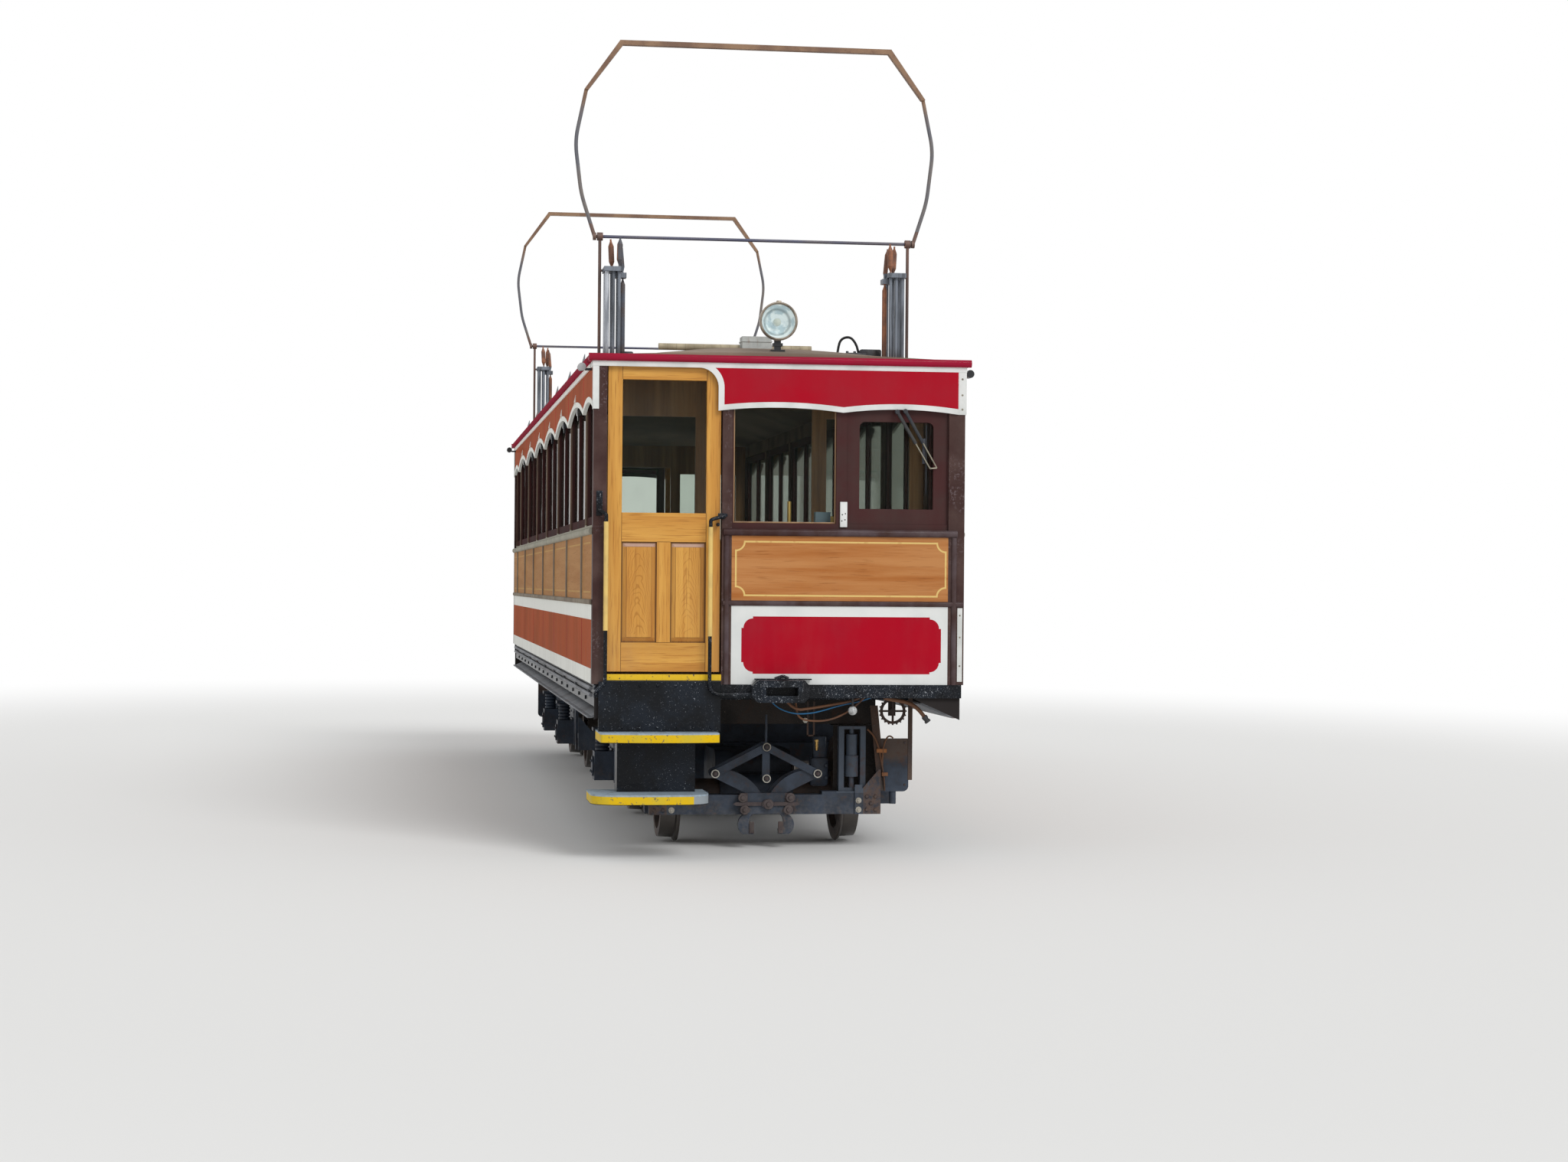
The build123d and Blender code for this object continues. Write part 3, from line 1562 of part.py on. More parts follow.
def root_nodes():
    stands = bow_stands()
    return {
        "solebars": solebars(),
        "cross_members": headstocks() + cross_bearers() + body_bolsters(),
        "floor": floor(),
        "lower_panels": side_panels(floor_bottom, dado_z) + end_panels(floor_bottom, dado_z),
        "waist_panels": side_panels(dado_z + dado_high, belt_z) + end_panels(dado_z + dado_high, belt_z),
        "mouldings": side_rails() + end_rails(),
        "side_frames": side_frames(),
        "side_sashes": side_sashes(),
        "glazing": side_glass() + end_glass() + bulkhead_glass() + lamp_lenses(),
        "letterboards": side_letterboards() + end_valances(),
        "white_edging": side_edging() + end_edging() + corner_strips(),
        "end_posts": corner_posts() + door_posts(),
        "end_frames": end_window_frames() + end_sashes() + door_headers(),
        "door_hinges": door_hinges(),
        "cornice": cornice(),
        "cornice_strip": cornice_strip(),
        "roof": roof(),
        "bulkheads": bulkheads(),
        "seat_cushions": seat_cushions(),
        "seat_frames": seat_frames(),
        "seat_backs": seat_backs(),
        "driving_gear": controllers() + brake_columns(),
        "brake_chain_gear": chain_wheels(),
        "couplers": couplers(),
        "step_boards": step_boards(),
        "step_brackets": step_aprons() + step_hangers(),
        "grab_rails": grab_rails(),
        "grab_sleeves": grab_sleeves(),
        "lamps": headlamps() + marker_lamps() + under_lamps(),
        "roof_tubes": roof_tubes(),
        "bow_stands": stands + [half_turn(stand) for stand in stands],
        "side_pipes": side_pipes(),
        "side_plates": side_plates(),
        "air_reservoirs": air_reservoirs(),
    }


def end_nodes():
    """Nodes that each end has once: door, bow, bogie and wheelsets."""
    pieces = {
        "door": [door_leaf()],
        "door_glass": [door_glass()],
        "bow_frame": [bow_frame()],
        "contact_bar": [contact_bar()],
    }
    bogie = {
        "bogie_sides": bogie_side_frames(),
        "bogie_cross_beams": end_beams() + bogie_bolster(),
        "axleboxes": axleboxes(),
        "motors": motors(),
        "brake_gear": brake_gear(),
        "brake_pots": brake_pots(),
    }
    pieces.update({name: [Pos(bogie_x, 0, 0) * shape for shape in shapes] for name, shapes in bogie.items()})
    nodes = {}
    for name, shapes in pieces.items():
        nodes[f"{name}_front"] = shapes
        nodes[f"{name}_rear"] = [half_turn(shape) for shape in shapes]
    wheels = wheelset()
    half = wheelbase / 2
    for number, x in enumerate((bogie_x + half, bogie_x - half, -bogie_x + half, -bogie_x - half), 1):
        nodes[f"wheelset_{number}"] = [Pos(x, 0, 0) * wheels]
    return nodes


os.makedirs("parts", exist_ok=True)
for name, solids in {**root_nodes(), **end_nodes()}.items():
    save(name, solids)
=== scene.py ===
import math

import bmesh
import bpy
from mathutils import Matrix, Vector


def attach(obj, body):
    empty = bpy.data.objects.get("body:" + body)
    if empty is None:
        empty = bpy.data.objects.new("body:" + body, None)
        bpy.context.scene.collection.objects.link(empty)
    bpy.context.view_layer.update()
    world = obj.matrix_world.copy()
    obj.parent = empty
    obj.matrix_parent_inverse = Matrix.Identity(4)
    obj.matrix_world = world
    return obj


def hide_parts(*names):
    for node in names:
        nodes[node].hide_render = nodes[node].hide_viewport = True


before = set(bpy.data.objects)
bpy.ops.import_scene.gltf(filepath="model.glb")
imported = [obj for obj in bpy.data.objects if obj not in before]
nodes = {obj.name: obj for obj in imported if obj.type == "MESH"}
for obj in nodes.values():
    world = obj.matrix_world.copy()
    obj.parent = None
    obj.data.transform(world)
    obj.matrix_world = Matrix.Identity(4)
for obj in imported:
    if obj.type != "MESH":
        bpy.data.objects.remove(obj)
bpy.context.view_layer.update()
print("frame loaded")

# The car runs along x, its leading end is at +x, and both ends are alike, half a turn apart.
car = {
    "innerX": 5.222, "postLine": 4.401, "bay": 1.467, "sideY": 1.105, "beltFoot": 1.891,
}
bogieX = 3.2
wheel = {"x": 1.04, "z": 0.33, "treadY": (0.5, 0.6195), "treadR": 0.2985}    # x from the middle of the bogie


def mathsMethod(operation, turned=False):
    def method(self, other=0.0):
        first, second = (other, self) if turned else (self, other)
        return self.paint.node("Math", {"operation": operation}, {0: first, 1: second})
    return method


class Sock:    # a shader value, so that masks read as plain sums
    def __init__(self, paint, out):
        self.paint = paint
        self.out = out

    __add__ = __radd__ = mathsMethod("ADD")
    __sub__ = mathsMethod("SUBTRACT")
    __rsub__ = mathsMethod("SUBTRACT", turned=True)
    __mul__ = __rmul__ = mathsMethod("MULTIPLY")
    __mod__ = mathsMethod("FLOORED_MODULO")
    __pow__ = mathsMethod("POWER")
    __abs__ = mathsMethod("ABSOLUTE")
    __gt__ = mathsMethod("GREATER_THAN")
    __lt__ = mathsMethod("LESS_THAN")
    least = mathsMethod("MINIMUM")
    most = mathsMethod("MAXIMUM")


class Paint:    # one material, with the nodes that a finish is mixed from
    def __init__(self, name):
        self.made = bpy.data.materials.new(name)
        self.made.use_nodes = True
        self.tree = self.made.node_tree
        shader = self.tree.nodes["Principled BSDF"]
        self.sockets = shader.inputs
        self.shell = Sock(self, shader.outputs[0])
        self.place = self.node("TexCoord", {}, {}, "Object")
        self.x, self.y, self.z = (self.node("SeparateXYZ", {}, {0: self.place}, axis) for axis in "XYZ")
        self.endY = self.y * ((self.x > 0) * 2 - 1)    # y as it is seen from the nearer end of the car

    def node(self, kind, settings, inputs, output=0):
        new = self.tree.nodes.new("ShaderNode" + kind)
        for name, value in settings.items():
            setattr(new, name, value)
        for name, value in inputs.items():
            self.feed(new.inputs[name], value)
        return Sock(self, new.outputs[output])

    def feed(self, socket, value):
        if isinstance(value, Sock):
            self.tree.links.new(value.out, socket)
        elif socket.type == "RGBA" and len(value) == 3:
            socket.default_value = (*value, 1)
        else:
            socket.default_value = value

    def noise(self, scale, detail=4, rough=0.5, stretch=(1, 1, 1), place=None):
        spot = self.node("Mapping", {}, {"Vector": place or self.place, "Scale": stretch})
        return self.node("TexNoise", {}, {"Vector": spot, "Scale": scale, "Detail": detail, "Roughness": rough})

    def rise(self, value, low, high):    # 0 below low, 1 above high, soft between
        return self.node("MapRange", {"interpolation_type": "SMOOTHSTEP"},
                         {"Value": value, "From Min": low, "From Max": high})

    def between(self, value, low, high, soft=0.002):
        return self.rise(value, low - soft, low + soft) * (1 - self.rise(value, high - soft, high + soft))

    def mix(self, factor, first, second):
        return self.node("Mix", {"data_type": "RGBA"}, {0: factor, 6: first, 7: second}, 2)

    def shade(self, value, low, high, first, second, share=None):    # towards the second colour as a value rises
        factor = self.rise(value, low, high)
        return self.mix(factor * share if share else factor, first, second)

    def coats(self, colour, *layers):    # one over the other, each a mask and the colour that it brings
        for factor, tone in layers:
            colour = self.mix(factor, colour, tone)
        return colour

    def finish(self, colour, rough, height=None, depth=0.001, **fixed):
        self.feed(self.sockets["Base Color"], colour)
        self.feed(self.sockets["Roughness"], rough)
        if height is not None:
            self.feed(self.sockets["Normal"], self.node("Bump", {}, {"Height": height, "Distance": depth}))
        for name, value in fixed.items():
            self.feed(self.sockets[name.replace("_", " ")], value)
        return self.made

    def surface(self, factor, first, second):    # what is seen is a mix of two shaders
        mixed = self.node("MixShader", {}, {0: factor, 1: first, 2: second})
        self.tree.links.new(mixed.out, self.tree.nodes["Material Output"].inputs["Surface"])
        return self.made


tones = {
    "crimson": (0.4, 0.001, 0.014),
    # painted reflection: the crimson as it looks along the sides under warm light
    "reflectedSideRed": (0.45, 0.104, 0.04),
    "white": (0.74, 0.75, 0.735),
    # painted light: the same white made brighter for the sides, which are in shade
    "sideWhiteLit": (0.9, 0.91, 0.86),
    "chocolate": (0.05, 0.024, 0.022),
    "sashBrown": (0.062, 0.022, 0.022),
    "black": (0.005, 0.006, 0.008),
    "dust": (0.24, 0.21, 0.18),
    "rust": (0.23, 0.085, 0.035),
    "darkRust": (0.09, 0.04, 0.024),
    "oak": (0.56, 0.255, 0.046),
    "oakPale": (0.69, 0.365, 0.078),
    "oakDark": (0.33, 0.12, 0.018),
    "waistWood": (0.39, 0.135, 0.034),
    "waistPale": (0.5, 0.225, 0.08),
    "waistDark": (0.2, 0.06, 0.014),
    "lining": (0.76, 0.56, 0.2),
    "slate": (0.042, 0.056, 0.082),
    "tread": (0.32, 0.4, 0.47),
    "yellow": (0.72, 0.455, 0.002),
    "cream": (0.74, 0.52, 0.165),
    "canvas": (0.285, 0.222, 0.168),
    "stone": (0.43, 0.41, 0.34),
}


def weather(paint, colour, amount, high=1.9):    # thin dust that gathers lower down, with drip marks
    cloud = paint.noise(2.3, 5, 0.6)
    drip = paint.noise(7, 4, 0.6, stretch=(1, 1, 0.1))
    depth = 1 - paint.rise(paint.z, 1.0, high)
    film = paint.rise(cloud * 0.5 + drip * 0.5, 0.42, 0.75) * (depth * 0.7 + 0.3) * amount
    return paint.mix(film, colour, tones["dust"]), film


def onEnd(paint, margin=0.0):    # 1 on the end walls, 0 along the sides
    return abs(paint.x) > car["innerX"] + margin


def glossPaint(paint, colourOf, rough, amount, high=1.9, wrinkle=0.35):
    colour, film = weather(paint, colourOf(paint), amount, high)
    peel = paint.noise(90, 2)
    brush = paint.noise(24, 3, 0.5, stretch=(1, 1, 0.08))
    shine = paint.noise(5, 4)
    return paint.finish(colour, rough + film * 0.5 + shine * 0.1, peel * wrinkle + brush, 0.0006,
                        Specular_IOR_Level=0.0, Coat_Weight=onEnd(paint) * 0.12 + 0.03, Coat_Roughness=0.1)


def varied(paint, tone, other, scale):
    return paint.shade(paint.noise(scale, 5, 0.55), 0.35, 0.7, tone, other)


def stripes(value, pitch, wide, start):    # narrow strips, each wide to both sides of a joint
    return abs((value + start) % pitch - pitch / 2) > pitch / 2 - wide


panels = {
    "field": (0.3705, 1.249, 0.5975, 0.169),    # middle y and z, half width and half height
    "fieldCorner": 0.068, "fieldRadius": 0.056, "sideField": (1.104, 1.392), "seam": 0.015, "seamEnd": 4.421,
    "waist": (0.365, 1.6995, 0.66, 0.19), "sideGap": 0.01, "liningInset": 0.032, "sideInset": 0.044,
    "curl": (0.052, 0.01),    # radius of the lining's corners, and its width
}


def framedCorner(u, v, halfU, halfV, corner, radius):    # a field with rounded corners between two small steps
    wide = (u < halfU) * (v < halfV - corner)
    tall = (u < halfU - corner) * (v < halfV)
    du = u - (halfU - corner)
    dv = v - (halfV - corner)
    disc = (du * du + dv * dv) < radius * radius
    return wide.most(tall).most(disc)


def liningMask(edgeU, edgeV, inset, radius, line):    # a painted line whose corners curve inwards
    du = edgeU - inset
    dv = edgeV - inset
    gap = (du * du + dv * dv) ** 0.5 - radius
    return abs(du.least(dv).least(gap)) < line / 2


def bayEdge(paint):    # distance from the nearer end of a side panel, along the car
    bay, line, inner = car["bay"], car["postLine"], car["innerX"]
    along = abs(paint.x)
    full = bay / 2 - abs((paint.x + line) % bay - bay / 2)
    short = (inner - line) / 2 - abs(along - (line + inner) / 2)
    inFull = along < line
    return full * inFull + short * (1 - inFull)


def seam(paint):    # where two side panels meet
    return (bayEdge(paint) < panels["seam"]) * (abs(paint.x) < panels["seamEnd"])


def lowerPanelColour(paint):
    middleY, middleZ, *half = panels["field"]
    red = varied(paint, tones["crimson"], (0.35, 0.006, 0.02), 2.2)
    # along the sides the same crimson is painted warmer, a painted reflection of warm light
    reflectedWarmRed = varied(paint, tones["reflectedSideRed"], (0.37, 0.092, 0.034), 1.6)
    reflectedWarmRed = paint.mix(seam(paint), reflectedWarmRed, (0.3, 0.01, 0.016))
    white = varied(paint, tones["white"], (0.66, 0.68, 0.67), 3.5)
    field = framedCorner(abs(paint.endY - middleY), abs(paint.z - middleZ), *half,
                         panels["fieldCorner"], panels["fieldRadius"])
    band = paint.between(paint.z, *panels["sideField"], 0.0008)
    ends = paint.mix(field, white, red)
    # the white along the sides is painted brighter, making up for the shade on them
    sides = paint.mix(band, tones["sideWhiteLit"], reflectedWarmRed)
    return paint.mix(onEnd(paint, -0.001), sides, ends)


def letterboardColour(paint):
    red = varied(paint, tones["crimson"], (0.345, 0.012, 0.024), 1.8)
    # along the sides the crimson is painted warmer, a painted reflection of warm light
    reflectedWarmRed = varied(paint, (0.42, 0.108, 0.048), (0.34, 0.086, 0.04), 1.4)
    reflectedWarmRed = paint.mix(seam(paint), reflectedWarmRed, (0.48, 0.01, 0.02))
    return paint.mix(onEnd(paint), reflectedWarmRed, red)


def mouldingColour(paint):
    # on the ends the chocolate is mixed here and there with a lilac-brown painted highlight
    end = varied(paint, tones["chocolate"], (0.095, 0.07, 0.078), 5)
    bead = varied(paint, (0.24, 0.2, 0.16), (0.33, 0.29, 0.23), 4)
    belt = varied(paint, tones["stone"], (0.33, 0.32, 0.26), 4)
    side = paint.mix(paint.z > car["beltFoot"], bead, belt)
    return paint.mix(onEnd(paint, 0.002), side, end)


def postColour(paint):    # chocolate brown whose wrinkles catch the light
    brown = varied(paint, tones["chocolate"], (0.088, 0.052, 0.046), 4)
    patch = paint.rise(paint.noise(3.2, 3), 0.44, 0.6)
    wrinkles = paint.rise(paint.noise(62, 4, 0.65), 0.52, 0.66)
    return paint.mix(wrinkles * patch * 0.7, brown, (0.15, 0.112, 0.118))


def whiteColour(paint):
    end = varied(paint, tones["white"], (0.62, 0.64, 0.62), 6)
    # the white along the sides is painted brighter, making up for the shade on them
    return paint.mix(onEnd(paint), tones["sideWhiteLit"], end)


sidePost = {"faceY": 1.092, "edge": 0.02, "sillTop": 1.96}


def sideFrameColour(paint):    # brown posts with a worn strip down the middle, over a pale sill
    brown = varied(paint, (0.19, 0.132, 0.094), (0.12, 0.08, 0.06), 5)
    strip = (abs(paint.y) > sidePost["faceY"]) * (bayEdge(paint) > sidePost["edge"])
    brown = paint.mix(strip * 0.7, brown, (0.3, 0.245, 0.17))
    return paint.mix(paint.z < sidePost["sillTop"], brown, tones["stone"])


def grain(paint, long, place=None):    # broad streaks, pores and rings that run along the given axis of a place
    sizes = ((13, 6, 0.62, 0.045), (150, 3, 0.5, 0.035), (3.4, 2, 0.4, 0.12))
    return [paint.noise(scale, detail, rough, [thin if axis == long else 1 for axis in "xyz"], place)
            for scale, detail, rough, thin in sizes]


def waistColour(paint):    # varnished boards with a pale lining, along the sides and across the ends
    atEnd = onEnd(paint, 0.0005)
    both = zip(grain(paint, "x"), grain(paint, "y"))
    broad, pores, rings = (side * (1 - atEnd) + end * atEnd for side, end in both)
    wood = paint.shade(broad, 0.35, 0.68, tones["waistPale"], tones["waistWood"])
    wood = paint.coats(wood, (paint.rise(rings, 0.52, 0.75) * 0.55, tones["waistDark"]),
                       (paint.rise(pores, 0.58, 0.7) * 0.5, tones["waistDark"]))
    middleY, middleZ, halfY, halfZ = panels["waist"]
    edgeZ = halfZ - abs(paint.z - middleZ)
    endLine = liningMask(halfY - abs(paint.endY - middleY), edgeZ, panels["liningInset"], *panels["curl"])
    sideLine = liningMask(bayEdge(paint) - panels["sideGap"], edgeZ, panels["sideInset"], *panels["curl"])
    line = endLine * atEnd + sideLine * (1 - atEnd) * 0.35
    wood = paint.mix((1 - atEnd) * 0.4, wood, (0.5, 0.34, 0.18))    # the sides are painted paler and warmer, a painted reflection of the warm light along them
    wear = paint.rise(paint.noise(30, 3), 0.3, 0.42)
    return paint.mix(line * (wear * 0.3 + 0.55), wood, tones["lining"])


doorLines = {
    "stiles": (-0.935, -0.438), "light": (2.021, 2.801), "panelTop": 1.851, "panelFoot": 1.26,
    "muntin": (-0.7265, -0.6465), "jointAndShadowLine": 0.0016, "groove": 0.0045, "bevel": 0.03, "planks": 7.0,
    "figure": (0.05, 0.062),    # from the panel's top and foot, and to each side of its middle
}


def doorJointsAndShadowLines(paint, y, z):    # dark lines where the rails meet the stiles, and painted shadow lines round each panel and along the edge of its raised field
    low, high = doorLines["stiles"]
    left, right = doorLines["muntin"]
    top, foot = doorLines["panelTop"], doorLines["panelFoot"]
    thin, groove = doorLines["jointAndShadowLine"], doorLines["groove"]
    butt = (abs(y - low) < thin).most(abs(y - high) < thin)
    butt = butt * (1 - paint.between(z, *doorLines["light"]))
    middle = (low + high) / 2
    half = (left - low) / 2
    centre = abs(abs(y - middle) - (middle - low - half))
    inset = (half - centre).least((top - foot) / 2 - abs(z - (top + foot) / 2))
    # painted shadow in the groove round each panel
    panelShadowLine = abs(inset - groove) < groove
    # painted shadow line along the edge of the raised field
    edge = abs(inset - doorLines["bevel"]) < thin
    across = paint.between(y, left, right) * (abs(z - top) < thin).most(abs(z - foot) < thin)
    return butt.most(panelShadowLine).most(across).most(edge * 0.6), inset


def doorWood(paint):
    y, z = paint.endY, paint.z
    low, high = doorLines["stiles"]
    right = doorLines["muntin"][1]
    lightFoot, lightTop = doorLines["light"]
    top, foot, bevel = doorLines["panelTop"], doorLines["panelFoot"], doorLines["bevel"]
    rail = (z > lightTop).most(paint.between(z, top, lightFoot)).most(z < foot) * paint.between(y, low, high)
    across = y * (1 - rail) + z * rail
    along = z * (1 - rail) + y * rail
    plank = paint.node("Math", {"operation": "FLOOR"}, {0: across * doorLines["planks"]})
    place = paint.node("CombineXYZ", {}, {0: paint.x * 3 + plank * 0.37, 1: across + plank * 0.11,
                                          2: along + plank * 3.1})
    broad, pores, rings = grain(paint, "z", place)
    wood = paint.shade(broad, 0.32, 0.66, tones["oakPale"], tones["oak"])
    wood = paint.coats(wood, (paint.rise(rings, 0.5, 0.74) * 0.45, tones["oakDark"]),
                       (paint.rise(pores, 0.54, 0.68) * 0.6, tones["oakDark"]))
    off = abs(abs(y - (low + high) / 2) - (right - low) / 2)    # from the middle of a panel
    wander = paint.noise(4.5, 3, 0.5)
    arch = (off * off * 95 + z * 1.9 + wander * 1.1) * 9    # flame figure in the middle of each panel
    figure = paint.rise(abs(arch % 1 - 0.5), 0.34, 0.48)
    inner, beside = doorLines["figure"]
    field = paint.between(z, foot + inner, top - inner) * (off < beside)
    wood = paint.mix(figure * field * paint.rise(broad, 0.3, 0.55) * 0.55, wood, tones["oakDark"])
    # real joints, together with painted shadow lines round the panels
    jointAndShadowLine, inset = doorJointsAndShadowLines(paint, y, z)
    # painted light on the bevels round each raised field: shade on all of them, a lilac sky reflection on the top
    # bevel and deeper shade on the bottom one
    bevelLightAndShade = paint.between(inset, 2 * doorLines["groove"], bevel, 0.001)
    wood = paint.coats(wood, (bevelLightAndShade * 0.22, tones["oakDark"]),
                       ((z > top - bevel) * bevelLightAndShade * 0.55, (0.43, 0.33, 0.35)),
                       ((z < foot + bevel) * bevelLightAndShade * 0.45, tones["oakDark"]), (jointAndShadowLine * 0.75, (0.075, 0.028, 0.008)))
    colour, film = weather(paint, wood, 0.16)
    return paint.finish(colour, 0.24 + film * 0.5 + broad * 0.08, pores * 0.8 + broad * 0.6 - jointAndShadowLine, 0.0006,
                        Specular_IOR_Level=0.2, Coat_Weight=0.08, Coat_Roughness=0.1)


def iron(paint, tone, other, rust, dust, rough, metallic=0.0):    # painted or greasy iron
    cloud = paint.noise(5, 6, 0.6)
    spots = paint.noise(34, 4, 0.6)
    patches = paint.rise(cloud * 0.6 + spots * 0.4, 0.53, 0.66)
    grease = paint.rise(paint.noise(3.1, 4, 0.5), 0.4, 0.62)
    colour = paint.mix(grease, tone, other)
    colour = paint.mix(patches * rust, colour, tones["darkRust"])
    fleck = paint.rise(paint.noise(120, 2), 0.64, 0.7)
    colour = paint.mix(fleck * dust, colour, tones["dust"])
    dusty = (1 - paint.rise(paint.z, 0.25, 0.7)) * paint.rise(spots, 0.3, 0.7) * dust * 0.6
    colour = paint.mix(dusty, colour, tones["dust"])
    return paint.finish(colour, rough + patches * 0.2 - grease * 0.14, spots + fleck, 0.002,
                        Metallic=metallic, Specular_IOR_Level=0.25)


def flecked(paint, spare=0.0):    # thick gloss black whose pits and chips catch the light; spare ones are fewer
    cloud = paint.noise(4, 5, 0.6)
    small = paint.rise(paint.noise(130, 3, 0.7), 0.6 + spare, 0.64 + spare)
    large = paint.rise(paint.noise(52, 4, 0.75), 0.615 + spare, 0.64 + spare)
    patch = paint.rise(cloud, 0.4, 0.62)
    flecks = (small * 0.8).most(large) * (patch * 0.8 + 0.2)
    colour = paint.mix(patch, tones["black"], (0.01, 0.014, 0.021))
    colour = paint.mix(flecks, colour, (0.33, 0.35, 0.38))
    lumps = paint.noise(38, 4, 0.6)
    return paint.finish(colour, 0.24 + cloud * 0.2 + flecks * 0.3, lumps + flecks * 0.4, 0.0025,
                        Specular_IOR_Level=0.16)


bogieZones = {    # x from the middle of the bogie
    "clampX": 1.56, "clampY": 0.27, "clampZ": (0.205, 0.345), "proudX": 1.5805, "proudY": 0.114,
    "gussetX": (1.52, 1.57), "gussetY": 0.604, "boxX": 1.4, "boxY": 0.715, "frameX": 1.44, "frameY": (0.44, 0.64),
    "frameZ": (0.335, 0.745),
}


def bogiePaint(paint):    # slate grey frames and clamp plate, brown bar and bolt seats on it, rusty gussets
    zone = bogieZones
    cloud = paint.noise(5, 6, 0.6)
    spots = paint.noise(34, 4, 0.6)
    along = abs(paint.x) - bogieX
    across = abs(paint.y)
    proud = (along > zone["proudX"]).most(across > zone["proudY"])    # bar, boss and corners of the clamp plate
    clamps = (along > zone["clampX"]) * (across < zone["clampY"]) * paint.between(paint.z, *zone["clampZ"]) * proud
    gussets = paint.between(along, *zone["gussetX"]) * (across > zone["gussetY"])
    lid = paint.rise(paint.z + cloud * 0.22 - across * 0.2, 0.47, 0.54)
    boxTop = (across > zone["boxY"]) * (along > zone["boxX"]) * lid
    frames = paint.between(paint.z, *zone["frameZ"]) * paint.between(across, *zone["frameY"])
    frames = (along > zone["frameX"]) * frames
    colour = paint.shade(cloud, 0.38, 0.64, tones["slate"], (0.026, 0.032, 0.044))
    colour = paint.coats(colour, (frames * 0.6, (0.08, 0.1, 0.13)), (clamps * 0.9, (0.06, 0.043, 0.043)),
                         (gussets * paint.rise(spots, 0.25, 0.6), (0.088, 0.058, 0.048)),
                         (boxTop * 0.85, (0.09, 0.06, 0.045)))
    rusty = paint.rise(cloud * 0.5 + spots * 0.5, 0.54, 0.66)
    colour = paint.mix(rusty * 0.4, colour, tones["darkRust"])
    dusty = (1 - paint.rise(paint.z, 0.1, 0.42)) * paint.rise(spots, 0.35, 0.7)
    colour = paint.mix(dusty * 0.22, colour, tones["dust"])
    return paint.finish(colour, 0.46 + rusty * 0.25 - clamps * 0.1, spots + cloud * 0.5, 0.002,
                        Specular_IOR_Level=0.25)


bowZones = {"brownZ": (4.62, 4.84), "shaftY": 0.965, "shaftZ": (3.77, 3.812), "footZ": (3.74, 3.87)}


def rustyTube(paint):    # bow tubes: blue steel shaft, grey sides, brown top bar and corners
    cloud = paint.noise(3.2, 5, 0.6)
    spots = paint.noise(26, 4, 0.6)
    shaft = paint.between(paint.z, *bowZones["shaftZ"]) * (abs(paint.y) < bowZones["shaftY"])
    steel = paint.shade(cloud, 0.4, 0.62, (0.12, 0.122, 0.14), (0.175, 0.15, 0.135))
    blue = paint.shade(cloud, 0.42, 0.66, (0.085, 0.09, 0.145), (0.13, 0.118, 0.135))
    brown = paint.shade(cloud, 0.38, 0.62, (0.26, 0.155, 0.09), (0.16, 0.088, 0.056))
    brown = paint.shade(spots, 0.58, 0.7, brown, tones["darkRust"], 0.3)
    colour = paint.shade(paint.z + cloud * 0.25, *bowZones["brownZ"], steel, brown)
    colour = paint.mix(shaft, colour, blue)
    foot = paint.between(paint.z, *bowZones["footZ"]) * (1 - shaft)
    colour = paint.mix(foot * 0.8, colour, (0.15, 0.08, 0.056))
    return paint.finish(colour, 0.44 + spots * 0.25, spots, 0.0004, Metallic=0.25)


standZones = {
    "postY": 0.97, "bareY": 0.925, "bareZ": 3.565, "capY": 0.876, "capZ": (3.597, 3.6), "potY": 0.852,
    "potZ": (3.05, 3.53), "footZ": (3.09, 3.2),
}


def standMetal(paint):    # roof trestles: grey-blue tubes, orange pots above the caps and rust at the foot
    zone = standZones
    cloud = paint.noise(11, 5, 0.6)
    streak = paint.noise(26, 4, 0.6, stretch=(1, 1, 0.12))
    right = paint.endY > 0
    across = abs(paint.y)
    tube = paint.shade(streak, 0.4, 0.68, (0.19, 0.215, 0.255), (0.07, 0.078, 0.092))
    pot = paint.shade(cloud, 0.35, 0.62, (0.33, 0.125, 0.058), (0.15, 0.07, 0.046))
    dull = paint.shade(cloud, 0.42, 0.66, (0.075, 0.085, 0.11), (0.085, 0.066, 0.062))
    post = paint.shade(streak, 0.42, 0.62, (0.15, 0.08, 0.06), (0.09, 0.06, 0.052))
    bright = paint.shade(streak, 0.4, 0.66, (0.56, 0.59, 0.64), (0.23, 0.25, 0.29))
    bare = (1 - right) * (across > zone["bareY"]) * (paint.z < zone["bareZ"])
    tube = paint.mix(bare * 0.9, tube, bright)
    cap = paint.mix((across < zone["capY"]) * (1 - right), pot, dull)
    colour = paint.shade(paint.z, *zone["capZ"], tube, cap)
    lower = paint.between(paint.z, *zone["potZ"]) * (across < zone["potY"])
    colour = paint.coats(colour, (lower, paint.mix(right, dull, pot)), (across > zone["postY"], post))
    foot = 1 - paint.rise(paint.z + cloud * 0.12, *zone["footZ"])
    colour = paint.mix(foot * 0.75, colour, (0.06, 0.042, 0.04))
    return paint.finish(colour, 0.42 + cloud * 0.25, streak + cloud, 0.001, Metallic=0.15)


